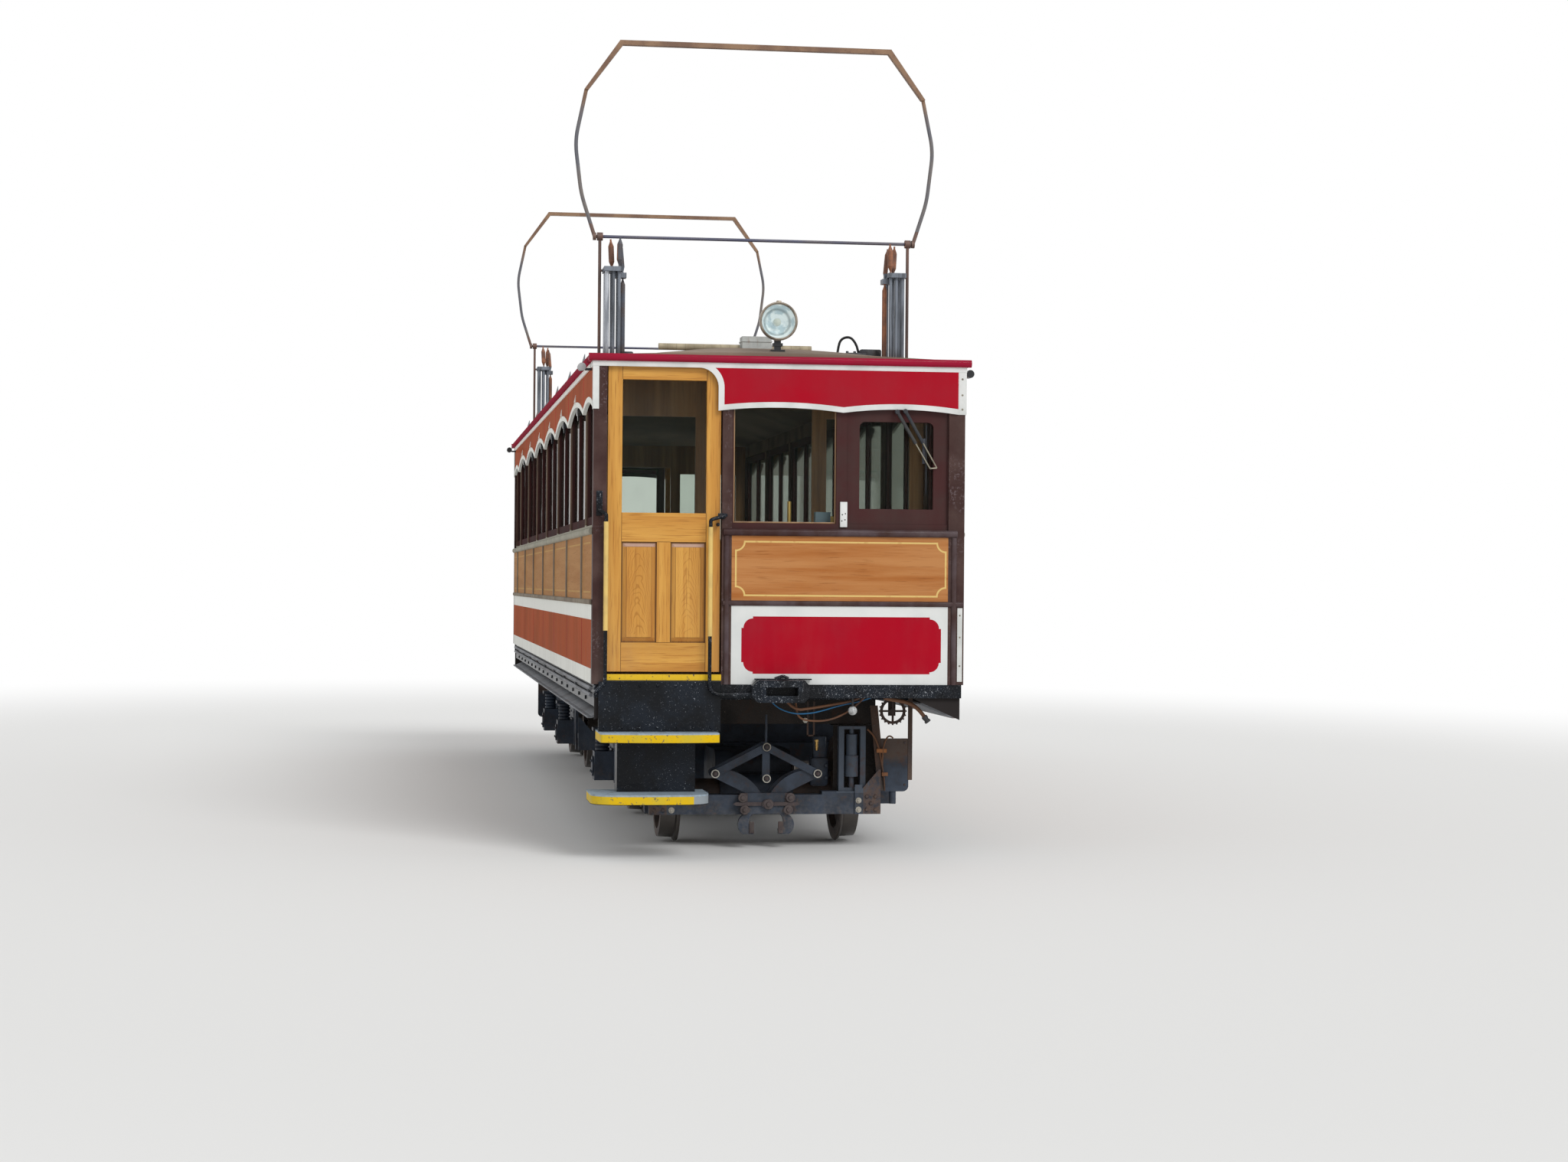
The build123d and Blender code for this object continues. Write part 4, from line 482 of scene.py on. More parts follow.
def canvas(paint):    # painted roof canvas over boards
    cloud = paint.noise(0.9, 6, 0.6)
    stain = paint.noise(4.5, 5, 0.65, stretch=(0.35, 1, 1))
    colour = paint.shade(cloud, 0.34, 0.66, tones["canvas"], (0.19, 0.145, 0.112))
    colour = paint.shade(stain, 0.52, 0.72, colour, (0.15, 0.13, 0.11), 0.5)
    boards = stripes(paint.y, 0.12, 0.0015, 0.08)
    lap = stripes(paint.x, 1.83, 0.007, 1.7)
    colour = paint.mix(lap * 0.35, colour, (0.17, 0.14, 0.11))
    height = paint.noise(420, 1) * 0.25 + stain * 0.4 + boards * 0.5 + lap * 1.2
    return paint.finish(colour, 0.72 + cloud * 0.2, height, 0.0016, Specular_IOR_Level=0.2)


panes = {"sideY": 1.045, "clear": (0.93, 0.95, 0.93), "dull": (0.6, 0.62, 0.58)}


def clearGlass(paint):    # thin panes; the ones along the sides let less through, a darker greenish tint that stands in for the dark reflections on them
    dirt = paint.rise(paint.noise(2.6, 5, 0.6), 0.42, 0.85)
    grazing = paint.node("LayerWeight", {}, {"Blend": 0.5}, "Facing")
    clear, dull = (paint.node("BsdfTransparent", {}, {"Color": panes[kind]}) for kind in ("clear", "dull"))
    # the darker tint on the side panes stands in for their dark reflections
    through = paint.node("MixShader", {}, {0: abs(paint.y) > panes["sideY"], 1: clear, 2: dull})
    paint.finish((0.02, 0.026, 0.022), 0.03 + dirt * 0.1)
    return paint.surface(grazing ** 4 * 0.7 + dirt * 0.04 + 0.06, through, paint.shell)


stepBoards = {
    "tops": ((0.731, 0.75), (0.3745, 0.39)),    # upper and lower board
    "between": 0.5, "undersides": (0.6855, 0.3295), "bareY": -0.522,
}


def stepFinish(paint):    # grey-blue tread with a worn yellow edge
    upper, lower = (paint.between(paint.z, *top, 0.001) for top in stepBoards["tops"])
    onTop = upper.most(lower)
    scuff = paint.noise(14, 5, 0.65)
    chips = paint.rise(paint.noise(46, 4, 0.6), 0.6, 0.66)
    edge = paint.mix(chips * 0.8, varied(paint, tones["yellow"], (0.6, 0.44, 0.03), 6), (0.11, 0.095, 0.075))
    top = paint.shade(scuff, 0.45, 0.7, tones["tread"], (0.23, 0.27, 0.3))
    isLower = paint.z < stepBoards["between"]
    bare = isLower * (paint.endY > stepBoards["bareY"])    # the yellow stops short of the lower step's end
    edge = paint.mix(bare, edge, (0.27, 0.305, 0.33))
    highFoot, lowFoot = stepBoards["undersides"]
    under = ((paint.z < highFoot) * (1 - isLower)).most(paint.z < lowFoot)
    colour = paint.mix(onTop, edge, top)
    colour = paint.mix(under, colour, tones["black"])
    ribs = stripes(paint.y, 0.03, 0.004, 0.02)
    return paint.finish(colour, 0.45 + scuff * 0.25, scuff * 0.5 + ribs * onTop * 0.8, 0.0016,
                        Specular_IOR_Level=0.15)


doorSill = {"x": 5.285, "z": 1.04}


def floorFinish(paint):    # boards inside, with a yellow nosing on each door sill
    broad, pores = grain(paint, "x")[:2]
    wood = paint.shade(broad, 0.35, 0.65, (0.24, 0.19, 0.14), (0.15, 0.11, 0.08))
    gap = stripes(paint.y, 0.11, 0.0015, 0.03)
    wood = paint.mix(gap, wood, (0.02, 0.016, 0.012))
    nosing = abs(paint.x) > doorSill["x"]
    yellow = paint.shade(paint.noise(38, 4, 0.6), 0.63, 0.68, tones["yellow"], (0.06, 0.05, 0.04))
    colour = paint.mix(nosing * (paint.z > doorSill["z"]), wood, yellow)
    colour = paint.mix(nosing * (paint.z < doorSill["z"]), colour, tones["black"])
    return paint.finish(colour, 0.55 + broad * 0.2, pores + gap * 2, 0.001)


gearZones = {"topZ": 1.9352, "handleY": 0.33, "spindleY": 0.09, "spindleR": 0.02, "spindleZ": 1.892}


def gearFinish(paint):    # controller and hand brake: dark case, grey box, brass handle and spindle
    zone = gearZones
    cloud = paint.noise(8, 4)
    high = paint.z > zone["topZ"]
    spindle = (abs(paint.endY - zone["spindleY"]) < zone["spindleR"]) * (paint.z > zone["spindleZ"])
    brass = (high * (paint.endY > zone["handleY"])).most(spindle)
    colour = varied(paint, (0.02, 0.045, 0.042), (0.01, 0.02, 0.02), 6)
    colour = paint.coats(colour, (high * (1 - brass), (0.15, 0.21, 0.26)), (brass, (0.62, 0.4, 0.13)))
    return paint.finish(colour, 0.28 + cloud * 0.25, cloud, 0.0006, Metallic=brass)


headlamp = {
    "z": 3.172, "footZ": (3.056, 3.058), "dishX": 5.03, "dishR": 0.1005, "reflectionDarkRing": (0.07, 0.082),
    "darkCore": (0.012, 0.026), "rimX": 5.157,
    "rim": (0.108, 0.0065, 40),    # radius, thickness and steps
    "clip": ((5.145, -0.014, 3.276), (5.165, 0.014, 3.294)), "bulbX": 5.085, "bulbR": 0.024,
}
smallLamps = {"markerZ": (2.8, 2.95), "lensX": 5.1515, "stepLampTop": 0.8865}


def lampFinish(paint):    # headlamp whose unlit dish is painted with a sky reflection and a faint glow, black brackets, small marker and step lamps
    cloud = paint.noise(16, 5, 0.6)
    height = paint.z - headlamp["z"]
    radius = (paint.y * paint.y + height * height) ** 0.5
    head = paint.rise(paint.z, *headlamp["footZ"])
    dish = head * (radius < headlamp["dishR"]) * (abs(paint.x) > headlamp["dishX"])
    shell = paint.shade(cloud, 0.4, 0.66, (0.42, 0.36, 0.29), (0.21, 0.175, 0.14))
    # painted reflection in the dish: blue-white, with a darker ring and a dark middle
    bright = paint.shade(paint.noise(17, 3, 0.5), 0.44, 0.6, (0.94, 0.97, 1.0), (0.56, 0.66, 0.73))
    dark = paint.between(radius, *headlamp["reflectionDarkRing"], 0.006) * 0.6
    dark = dark.most((1 - paint.rise(radius, *headlamp["darkCore"])) * 0.7)
    dishReflection = paint.mix(dark, bright, (0.16, 0.2, 0.22))
    # a faint glow from the unlit dish, standing in for the sky that it reflects
    paintedDishGlow = paint.mix(dish, (0.0, 0.0, 0.0), dishReflection)
    marker = paint.between(paint.z, *smallLamps["markerZ"])
    lens = marker * (abs(paint.x) > smallLamps["lensX"]) * (paint.endY < 0)
    colour = paint.mix(head, tones["black"], shell)
    colour = paint.coats(colour, (dish, dishReflection), (lens, (0.42, 0.43, 0.44)))
    low = paint.z < smallLamps["stepLampTop"]
    colour = paint.mix(low, colour, varied(paint, (0.56, 0.57, 0.57), (0.2, 0.205, 0.21), 60))
    return paint.finish(colour, 0.24 + cloud * 0.12, cloud * (1 - dish), 0.0004, Metallic=(1 - dish) * head * 0.6,
                        Emission_Color=paintedDishGlow, Emission_Strength=0.28)


def wheelFinish(paint):    # bright treads, brown rusty faces
    cloud = paint.noise(9, 5, 0.6)
    height = paint.z - wheel["z"]
    local = abs(abs(paint.x) - bogieX) - wheel["x"]
    radius = (local * local + height * height) ** 0.5
    bright = paint.between(abs(paint.y), *wheel["treadY"], 0.004) * (radius > wheel["treadR"])
    dark = paint.shade(cloud, 0.35, 0.65, (0.085, 0.055, 0.042), (0.045, 0.035, 0.032))
    colour = paint.mix(bright, dark, (0.12, 0.108, 0.1))
    return paint.finish(colour, 0.62 - bright * 0.36 + cloud * 0.1, paint.noise(55, 3) + cloud, 0.001,
                        Metallic=bright * 0.9)


def woven(paint):    # red cloth with a fine weave and pale stripes, worn here and there
    threads = 260.0
    warp = abs((paint.x * threads) % 1 - 0.5)
    weft = abs((paint.y * threads) % 1 - 0.5)
    weave = warp * 0.5 + weft * 0.5
    colour = paint.mix(weave, (0.18, 0.02, 0.026), (0.09, 0.012, 0.018))
    colour = paint.coats(colour, (stripes(paint.y, 0.09, 0.009, 0.03) * 0.7, (0.42, 0.31, 0.16)),
                         (paint.rise(paint.noise(9, 4), 0.5, 0.8) * 0.3, (0.28, 0.16, 0.13)))
    return paint.finish(colour, 0.86, weave, 0.0008, Sheen_Weight=0.3)


def plainWood(paint, pale, dark, long="z"):
    broad, pores = grain(paint, long)[:2]
    wood = paint.shade(broad, 0.34, 0.66, pale, dark)
    wood = paint.shade(pores, 0.56, 0.7, wood, (0.1, 0.045, 0.016), 0.4)
    return paint.finish(wood, 0.3 + broad * 0.15, pores + broad, 0.0006, Coat_Weight=0.15, Coat_Roughness=0.12)


def plateFinish(paint):    # dusty grey plates with rust drips, dark where they turn round the ends
    endX = 5.263
    cloud = paint.noise(3.2, 6, 0.62)
    drip = paint.noise(15, 4, 0.6, stretch=(1, 1, 0.2))
    colour = paint.shade(cloud, 0.34, 0.68, (0.25, 0.262, 0.285), (0.16, 0.165, 0.175))
    colour = paint.coats(colour, (paint.rise(drip, 0.56, 0.74) * 0.45, tones["rust"]),
                         ((abs(paint.x) > endX) * 0.96, (0.014, 0.01, 0.009)))
    return paint.finish(colour, 0.55 + cloud * 0.2, drip + cloud, 0.0012, Specular_IOR_Level=0.15)


def tubeFinish(paint):    # cream tube across the roof, with a pale grey box
    boxY = (0.05, 0.269)
    cloud = paint.noise(9, 5, 0.6)
    drip = paint.noise(30, 4, 0.6, stretch=(1, 1, 0.2))
    tube = paint.shade(cloud, 0.35, 0.65, (0.5, 0.43, 0.3), (0.34, 0.29, 0.2))
    tube = paint.mix(stripes(paint.y, 0.06, 0.003, 0.02) * 0.4, tube, (0.23, 0.19, 0.13))
    grey = paint.shade(cloud, 0.35, 0.65, (0.52, 0.54, 0.52), (0.38, 0.4, 0.39))
    colour = paint.mix(paint.between(paint.endY, *boxY), tube, grey)
    colour = paint.shade(drip, 0.58, 0.74, colour, tones["rust"], 0.4)
    return paint.finish(colour, 0.55 + cloud * 0.2, drip + cloud, 0.001, Specular_IOR_Level=0.2)


def creamFinish(paint):
    cloud = paint.noise(11, 4)
    drip = paint.noise(30, 3, 0.5, stretch=(1, 1, 0.15))
    colour = paint.shade(cloud, 0.4, 0.75, tones["cream"], (0.62, 0.43, 0.15))
    colour = paint.shade(drip, 0.58, 0.76, colour, (0.26, 0.18, 0.1), 0.25)
    return paint.finish(colour, 0.34 + cloud * 0.2, drip, 0.0005, Specular_IOR_Level=0.25)


finishes = {}
finishOf = {}
for name, group, make, *values in [    # CAD nodes named without front, rear or number; all others are bogieIron
    ("underframeBlack", "solebars cross_members door_hinges couplers grab_rails air_reservoirs", flecked),
    ("riserBlack", "step_brackets", flecked, 0.045),
    ("floorBoards", "floor", floorFinish),
    ("lowerPanels", "lower_panels", glossPaint, lowerPanelColour, 0.17, 0.22, 1.3),
    ("varnishedPanels", "waist_panels", glossPaint, waistColour, 0.22, 0.1),
    ("mouldings", "mouldings", glossPaint, mouldingColour, 0.22, 0.35),
    ("sideFrames", "side_frames", glossPaint, sideFrameColour, 0.24, 0.25),
    ("postBrown", "end_posts", glossPaint, postColour, 0.15, 0.25, 1.9, 1.6),
    ("sashBrown", "side_sashes end_frames", glossPaint,
     lambda paint: varied(paint, tones["sashBrown"], (0.058, 0.03, 0.028), 5), 0.24, 0.15),
    ("glass", "glazing door_glass", clearGlass),
    ("letterboards", "letterboards", glossPaint, letterboardColour, 0.17, 0.08),
    ("white", "white_edging cornice_strip", glossPaint, whiteColour, 0.25, 0.25),
    ("corniceRed", "cornice", glossPaint,
     lambda paint: varied(paint, (0.33, 0.008, 0.036), (0.27, 0.014, 0.034), 3), 0.15, 0.05),
    ("roofCanvas", "roof", canvas),
    ("insideWood", "bulkheads", plainWood, (0.42, 0.21, 0.08), (0.26, 0.115, 0.04)),
    ("seatWood", "seat_frames seat_backs", plainWood, (0.38, 0.19, 0.075), (0.24, 0.105, 0.04), "y"),
    ("drivingGear", "driving_gear", gearFinish),
    ("steps", "step_boards", stepFinish),
    ("creamSleeve", "grab_sleeves", creamFinish),
    ("lampMetal", "lamps", lampFinish),
    ("creamTube", "roof_tubes", tubeFinish),
    ("bowSteel", "bow_frame contact_bar", rustyTube),
    ("standMetal", "bow_stands", standMetal),
    ("plateGrey", "side_pipes side_plates", plateFinish),
    ("bogieIron", "", bogiePaint),
    ("wheelSteel", "wheelset", wheelFinish),
    ("doorOak", "door", doorWood),
    ("darkSteel", "", iron, (0.03, 0.033, 0.042), (0.055, 0.054, 0.052), 0.15, 0.3, 0.4),
    ("wornSteel", "", iron, (0.56, 0.54, 0.48), (0.32, 0.29, 0.24), 0.35, 0.3, 0.4),
    ("rustyIron", "brake_chain_gear", iron, (0.07, 0.042, 0.031), (0.04, 0.028, 0.025), 0.5, 0.3, 0.7),
    ("rustyClip", "", iron, (0.33, 0.13, 0.045), (0.21, 0.085, 0.035), 0.3, 0.3, 0.7),
    ("brass", "", iron, (0.6, 0.39, 0.13), (0.42, 0.26, 0.09), 0.2, 0.1, 0.35, 0.9),
    ("tarnished", "", iron, (0.33, 0.3, 0.23), (0.18, 0.16, 0.13), 0.2, 0.2, 0.35, 0.6),
    ("beadWood", "", plainWood, (0.36, 0.21, 0.09), (0.24, 0.125, 0.055)),
    ("darkBoard", "", iron, (0.014, 0.012, 0.011), (0.026, 0.02, 0.017), 0.3, 0.2, 0.75),
    ("brownSteel", "", iron, (0.072, 0.055, 0.056), (0.046, 0.034, 0.034), 0.25, 0.25, 0.45),
    ("rubber", "", iron, (0.016, 0.016, 0.017), (0.03, 0.027, 0.026), 0.05, 0.35, 0.6),
    ("brownCable", "", iron, (0.15, 0.07, 0.036), (0.08, 0.042, 0.028), 0.3, 0.2, 0.6),
    ("blueCable", "", iron, (0.025, 0.14, 0.3), (0.025, 0.08, 0.17), 0.15, 0.2, 0.45),
    ("seatCloth", "seat_cushions", woven),
]:
    finishes[name] = make(Paint(name), *values)
    finishOf.update(dict.fromkeys(group.split(), name))
for name, node in nodes.items():
    stem, last = name.rpartition("_")[::2]
    base = stem if last in ("front", "rear", "1", "2", "3", "4") else name
    node.data.materials.clear()
    node.data.materials.append(finishes[finishOf.get(base, "bogieIron")])
print("CAD nodes painted")


studio = {
    "lens": 3558.1 / 2048 * 36, "camera": (21.187, -2.246, 1.605), "yaw": 8.13, "pitch": 0.08, "roll": 0.46,
    "worldLight": 0.62, "sunPower": 1.5, "sunSoftness": 28, "sunFrom": (0.72, 0.34, 0.6),
    "floorTone": (0.83, 0.83, 0.82), "fadeStart": 7.5, "fadeEnd": 16.0,
}


def addCamera():
    yaw, pitch, roll = (math.radians(studio[k]) for k in ("yaw", "pitch", "roll"))
    ahead = Vector((-math.cos(pitch) * math.cos(yaw), math.cos(pitch) * math.sin(yaw), math.sin(pitch)))
    flat = Vector((math.sin(yaw), math.cos(yaw), 0))
    above = flat.cross(ahead)
    right = math.cos(roll) * flat + math.sin(roll) * above
    up = math.cos(roll) * above - math.sin(roll) * flat
    data = bpy.data.cameras.new("camera")
    data.lens = studio["lens"]
    data.sensor_width = 36
    camera = bpy.data.objects.new("camera", data)
    turn = Matrix((right, up, -ahead)).transposed().to_4x4()
    camera.matrix_world = Matrix.Translation(studio["camera"]) @ turn
    bpy.context.scene.collection.objects.link(camera)
    bpy.context.scene.camera = camera


def addFloor():
    mesh = bmesh.new()
    bmesh.ops.create_circle(mesh, cap_ends=True, segments=96, radius=60)
    data = bpy.data.meshes.new("floor")
    mesh.to_mesh(data)
    mesh.free()
    ground = bpy.data.objects.new("studioFloor", data)
    bpy.context.scene.collection.objects.link(ground)
    paint = Paint("studioFloor")
    paint.finish(studio["floorTone"], 0.9)
    white = paint.node("Emission", {}, {"Color": (1.0, 1.0, 1.0), "Strength": 1.0})
    far = ((paint.x * 0.62) ** 2 + paint.y * paint.y) ** 0.5
    fade = paint.rise(far, studio["fadeStart"], studio["fadeEnd"])
    ground.data.materials.append(paint.surface(fade, paint.shell, white))


def addLight():
    sun = bpy.data.lights.new("key", "SUN")
    sun.energy = studio["sunPower"]
    sun.angle = math.radians(studio["sunSoftness"])
    lamp = bpy.data.objects.new("key", sun)
    lamp.rotation_mode = "QUATERNION"
    lamp.rotation_quaternion = Vector(studio["sunFrom"]).to_track_quat("Z", "Y")
    bpy.context.scene.collection.objects.link(lamp)
    world = bpy.data.worlds.new("studio")
    bpy.context.scene.world = world
    world.use_nodes = True
    tree = world.node_tree
    ground = tree.nodes["Background"]
    path = tree.nodes.new("ShaderNodeLightPath")
    seen = None
    for ray in ("Is Camera Ray", "Is Glossy Ray", "Is Transmission Ray"):
        if seen is None:
            seen = path.outputs[ray]
            continue
        most = tree.nodes.new("ShaderNodeMath")
        most.operation = "MAXIMUM"
        tree.links.new(seen, most.inputs[0])
        tree.links.new(path.outputs[ray], most.inputs[1])
        seen = most.outputs[0]
    level = tree.nodes.new("ShaderNodeMapRange")
    tree.links.new(seen, level.inputs["Value"])
    level.inputs["To Min"].default_value = studio["worldLight"]
    level.inputs["To Max"].default_value = 1.0
    tree.links.new(level.outputs[0], ground.inputs["Strength"])
    ground.inputs["Color"].default_value = (1, 1, 1, 1)


addCamera()
addFloor()
addLight()
bpy.context.scene.view_settings.view_transform = "Standard"
print("camera, floor and light placed")

outward = (1, 0, 0)    # out of the leading end


def savePiece(name, mesh, finish, body, smooth=None):
    data = bpy.data.meshes.new(name)
    mesh.to_mesh(data)
    mesh.free()
    data.materials.append(finishes[finish])
    if smooth is not None:
        for face in data.polygons:
            face.use_smooth = True
        data.set_sharp_from_angle(angle=math.radians(smooth))
    piece = bpy.data.objects.new(name, data)
    bpy.context.scene.collection.objects.link(piece)
    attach(piece, body)
    return piece


def vertsOf(geom):
    return [item for item in geom if isinstance(item, bmesh.types.BMVert)]


def turnRound(mesh, verts):    # half a turn about the middle of the car
    bmesh.ops.rotate(mesh, verts=verts, cent=(0, 0, 0), matrix=Matrix.Rotation(math.pi, 3, "Z"))


def saveBothEnds(name, mesh, finish, smooth=None):    # a piece of the body that is alike at both ends
    copy = bmesh.ops.duplicate(mesh, geom=mesh.verts[:] + mesh.edges[:] + mesh.faces[:])
    turnRound(mesh, vertsOf(copy["geom"]))
    savePiece(name, mesh, finish, "car_body", smooth)


def perBogie(name, build, finish, smooth=None):    # one piece on each bogie
    for end in ("front", "rear"):
        mesh = bmesh.new()
        build(mesh)
        if end == "rear":
            turnRound(mesh, mesh.verts[:])
        savePiece(f"{name}_{end}", mesh, finish, f"bogie_{end}", smooth)


def facing(place, axis):    # puts a shape's own z along an axis, at a place
    return Matrix.Translation(place) @ Vector(axis).to_track_quat("Z", "Y").to_matrix().to_4x4()


def addBolt(mesh, place, axis, radius, height, sides=6, top=0.86):
    bmesh.ops.create_cone(mesh, cap_ends=True, segments=sides, radius1=radius, radius2=radius * top, depth=height,
                          matrix=facing(Vector(place) + Vector(axis) * height / 2, axis))


def addBolts(mesh, place, axis, sizes):    # a stack of bolts and washers, each with its radius and height
    for size in sizes:
        addBolt(mesh, place, axis, *size)


def addRivet(mesh, place, axis, radius):
    addBolt(mesh, place, axis, radius, radius * 0.55, 8, 0.55)


def addBar(mesh, low, high, bevel=0.0):
    low, high = Vector(low), Vector(high)
    shape = Matrix.Translation((low + high) / 2) @ Matrix.Diagonal((*(high - low), 1))
    made = bmesh.ops.create_cube(mesh, size=1, matrix=shape)
    if bevel:
        edges = list({edge for vert in made["verts"] for edge in vert.link_edges})
        bmesh.ops.bevel(mesh, geom=edges, offset=bevel, segments=2, profile=0.5, affect="EDGES", material=-1)


def addRod(mesh, start, stop, radius, sides=8):
    start, stop = Vector(start), Vector(stop)
    bmesh.ops.create_cone(mesh, cap_ends=True, segments=sides, radius1=radius, radius2=radius,
                          depth=(stop - start).length, matrix=facing((start + stop) / 2, stop - start))


def addRods(mesh, places, radius):
    for start, stop in zip(places, places[1:]):
        addRod(mesh, start, stop, radius)


def addRing(mesh, place, axis, radius, wire, steps):    # a ring of round wire about an axis
    before = set(mesh.verts)
    upright = Matrix.Translation((radius, 0, 0)) @ Matrix.Rotation(math.pi / 2, 4, "X")
    verts = bmesh.ops.create_circle(mesh, segments=6, radius=wire, matrix=upright)["verts"]
    edges = list({edge for vert in verts for edge in vert.link_edges})
    bmesh.ops.spin(mesh, geom=verts + edges, cent=(0, 0, 0), axis=(0, 0, 1), angle=math.tau, steps=steps,
                   use_merge=True)
    made = [vert for vert in mesh.verts if vert not in before]
    bmesh.ops.recalc_face_normals(mesh, faces=list({face for vert in made for face in vert.link_faces}))
    bmesh.ops.transform(mesh, matrix=facing(place, axis), verts=made)


def addFrame(mesh, depth, y, z, wide):    # four strips round the inside of an opening
    strips = (
        (y[0], y[0] + wide, z[0], z[1]), (y[1] - wide, y[1], z[0], z[1]),
        (y[0] + wide, y[1] - wide, z[0], z[0] + wide), (y[0] + wide, y[1] - wide, z[1] - wide, z[1]),
    )
    for left, right, low, high in strips:
        addBar(mesh, (depth[0], left, low), (depth[1], right, high), wide * 0.2)


def addSeatPads():    # crowned pads, one for each double seat
    pad = {"rows": 12, "pitch": 0.7335, "shift": -0.023, "deep": 0.346, "wide": 0.712, "middle": 0.6605,
           "middleZ": 1.468, "thick": 0.05, "crown": 0.014, "waist": 0.022}
    mesh = bmesh.new()
    bmesh.ops.create_cube(mesh, size=1)
    bmesh.ops.subdivide_edges(mesh, edges=mesh.edges[:], cuts=7, use_grid_fill=True)
    for vert in mesh.verts:    # u, v and w run from -1 to 1 across the pad
        u, v, w = vert.co * 2
        vert.co.x = pad["deep"] * (u - pad["waist"] * u * (1 - w * w) * (1 - v * v)) / 2
        vert.co.y = pad["wide"] * (v - pad["waist"] * v * (1 - w * w) * (1 - u * u)) / 2
        vert.co.z = pad["thick"] * w / 2 + pad["crown"] * max(w, 0) * (1 - u ** 4) * (1 - v ** 4)
    one = mesh.verts[:] + mesh.edges[:] + mesh.faces[:]
    for row in range(pad["rows"]):
        x = pad["pitch"] * (row - (pad["rows"] - 1) / 2) + pad["shift"]
        for side in (-1, 1):
            copy = bmesh.ops.duplicate(mesh, geom=one)
            bmesh.ops.translate(mesh, verts=vertsOf(copy["geom"]), vec=(x, side * pad["middle"], pad["middleZ"]))
    bmesh.ops.delete(mesh, geom=vertsOf(one), context="VERTS")
    piece = savePiece("seatPads", mesh, "seatCloth", "car_body", 60)
    soften = piece.modifiers.new("soften", "SUBSURF")
    soften.levels = soften.render_levels = 1
    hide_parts("seat_cushions")


headstock = {
    "faceX": 5.306,
    "places": [(-0.25, 0.978), (0.262, 0.962), (0.47, 0.992), (0.64, 0.966), (0.82, 0.99), (0.985, 0.966)],
    "bolt": (0.013, 0.011), "apronX": 5.32, "apronRows": (0.765, 1.008), "apronFrom": -1.035, "apronPitch": 0.105,
    "apronCount": 7, "apronRivet": 0.01, "sideY": 1.08, "sideZ": 0.908, "sidePitch": 0.6, "sideCount": 16,
    "sideBolt": (0.012, 0.01),
}


def addBodyBolts():
    mesh = bmesh.new()
    work = headstock
    for y, z in work["places"]:
        addBolt(mesh, (work["faceX"], y, z), outward, *work["bolt"])
    for z in work["apronRows"]:
        for i in range(work["apronCount"]):
            y = work["apronFrom"] + i * work["apronPitch"]
            addRivet(mesh, (work["apronX"], y, z), outward, work["apronRivet"])
    for i in range(work["sideCount"]):
        x = work["sidePitch"] * (i - (work["sideCount"] - 1) / 2)
        addBolt(mesh, (x, work["sideY"], work["sideZ"]), (0, 1, 0), *work["sideBolt"])
    saveBothEnds("bodyBolts", mesh, "underframeBlack")


couplerTop = {
    "plate": ((5.308, -0.15, 1.0455), (5.332, 0.189, 1.053)),
    "lever": [(5.32, -0.03, 1.052), (5.32, 0.02, 1.068), (5.32, 0.052, 1.054)], "leverR": 0.009,
}


def addCouplerTop():    # plate and lever above the pocket
    mesh = bmesh.new()
    addBar(mesh, *couplerTop["plate"], 0.002)
    addRods(mesh, couplerTop["lever"], couplerTop["leverR"])
    saveBothEnds("couplerTops", mesh, "underframeBlack", 40)


window = {
    "depth": (5.261, 5.268), "light": ((-0.279, 0.334), (1.968, 2.72)), "bead": 0.009,
    "latch": ((5.2825, 0.356, 1.948), (5.2985, 0.399, 2.098)), "holeX": 5.2981,
    "holes": [(0.369, 2.022), (0.387, 2.028), (0.366, 1.985), (0.385, 1.992)], "hole": (0.0042, 0.0016, 10),
    "screws": [((5.306, 1.086), (2.655, 2.74, 2.835), 0.0065), ((5.303, 1.081), (1.13, 1.3, 1.43), 0.0055)],
}


def addWindowBeads():
    mesh = bmesh.new()
    addFrame(mesh, window["depth"], *window["light"], window["bead"])
    saveBothEnds("windowBeads", mesh, "beadWood")


def addLatch():    # white block on the bar between the two windows, with four dark screws
    mesh = bmesh.new()
    addBar(mesh, *window["latch"], 0.003)
    saveBothEnds("sashLatches", mesh, "white", 40)
    mesh = bmesh.new()
    for y, z in window["holes"]:
        addBolt(mesh, (window["holeX"], y, z), outward, *window["hole"])
    saveBothEnds("latchScrews", mesh, "rubber")


def addStripScrews():    # down the white strip at the corner of the car
    mesh = bmesh.new()
    for (x, y), heights, radius in window["screws"]:
        for z in heights:
            addRivet(mesh, (x, y, z), outward, radius)
    saveBothEnds("stripScrews", mesh, "tarnished")


wiper = {
    "pivots": [(5.322, 0.69, 2.634), (5.322, 0.739, 2.638)], "feet": [(5.294, 0.895, 2.302), (5.294, 0.936, 2.306)],
    "hubBack": 0.01, "hub": (0.015, 0.02, 12), "sleeve": 0.56, "sleeveR": 0.0105, "armR": 0.0042,
    "blade": ((5.284, 0.848, 2.33), (5.292, 0.866, 2.48)), "strip": [(5.288, 0.872, 2.15), (5.288, 0.872, 2.56)],
    "stripR": 0.003,
}


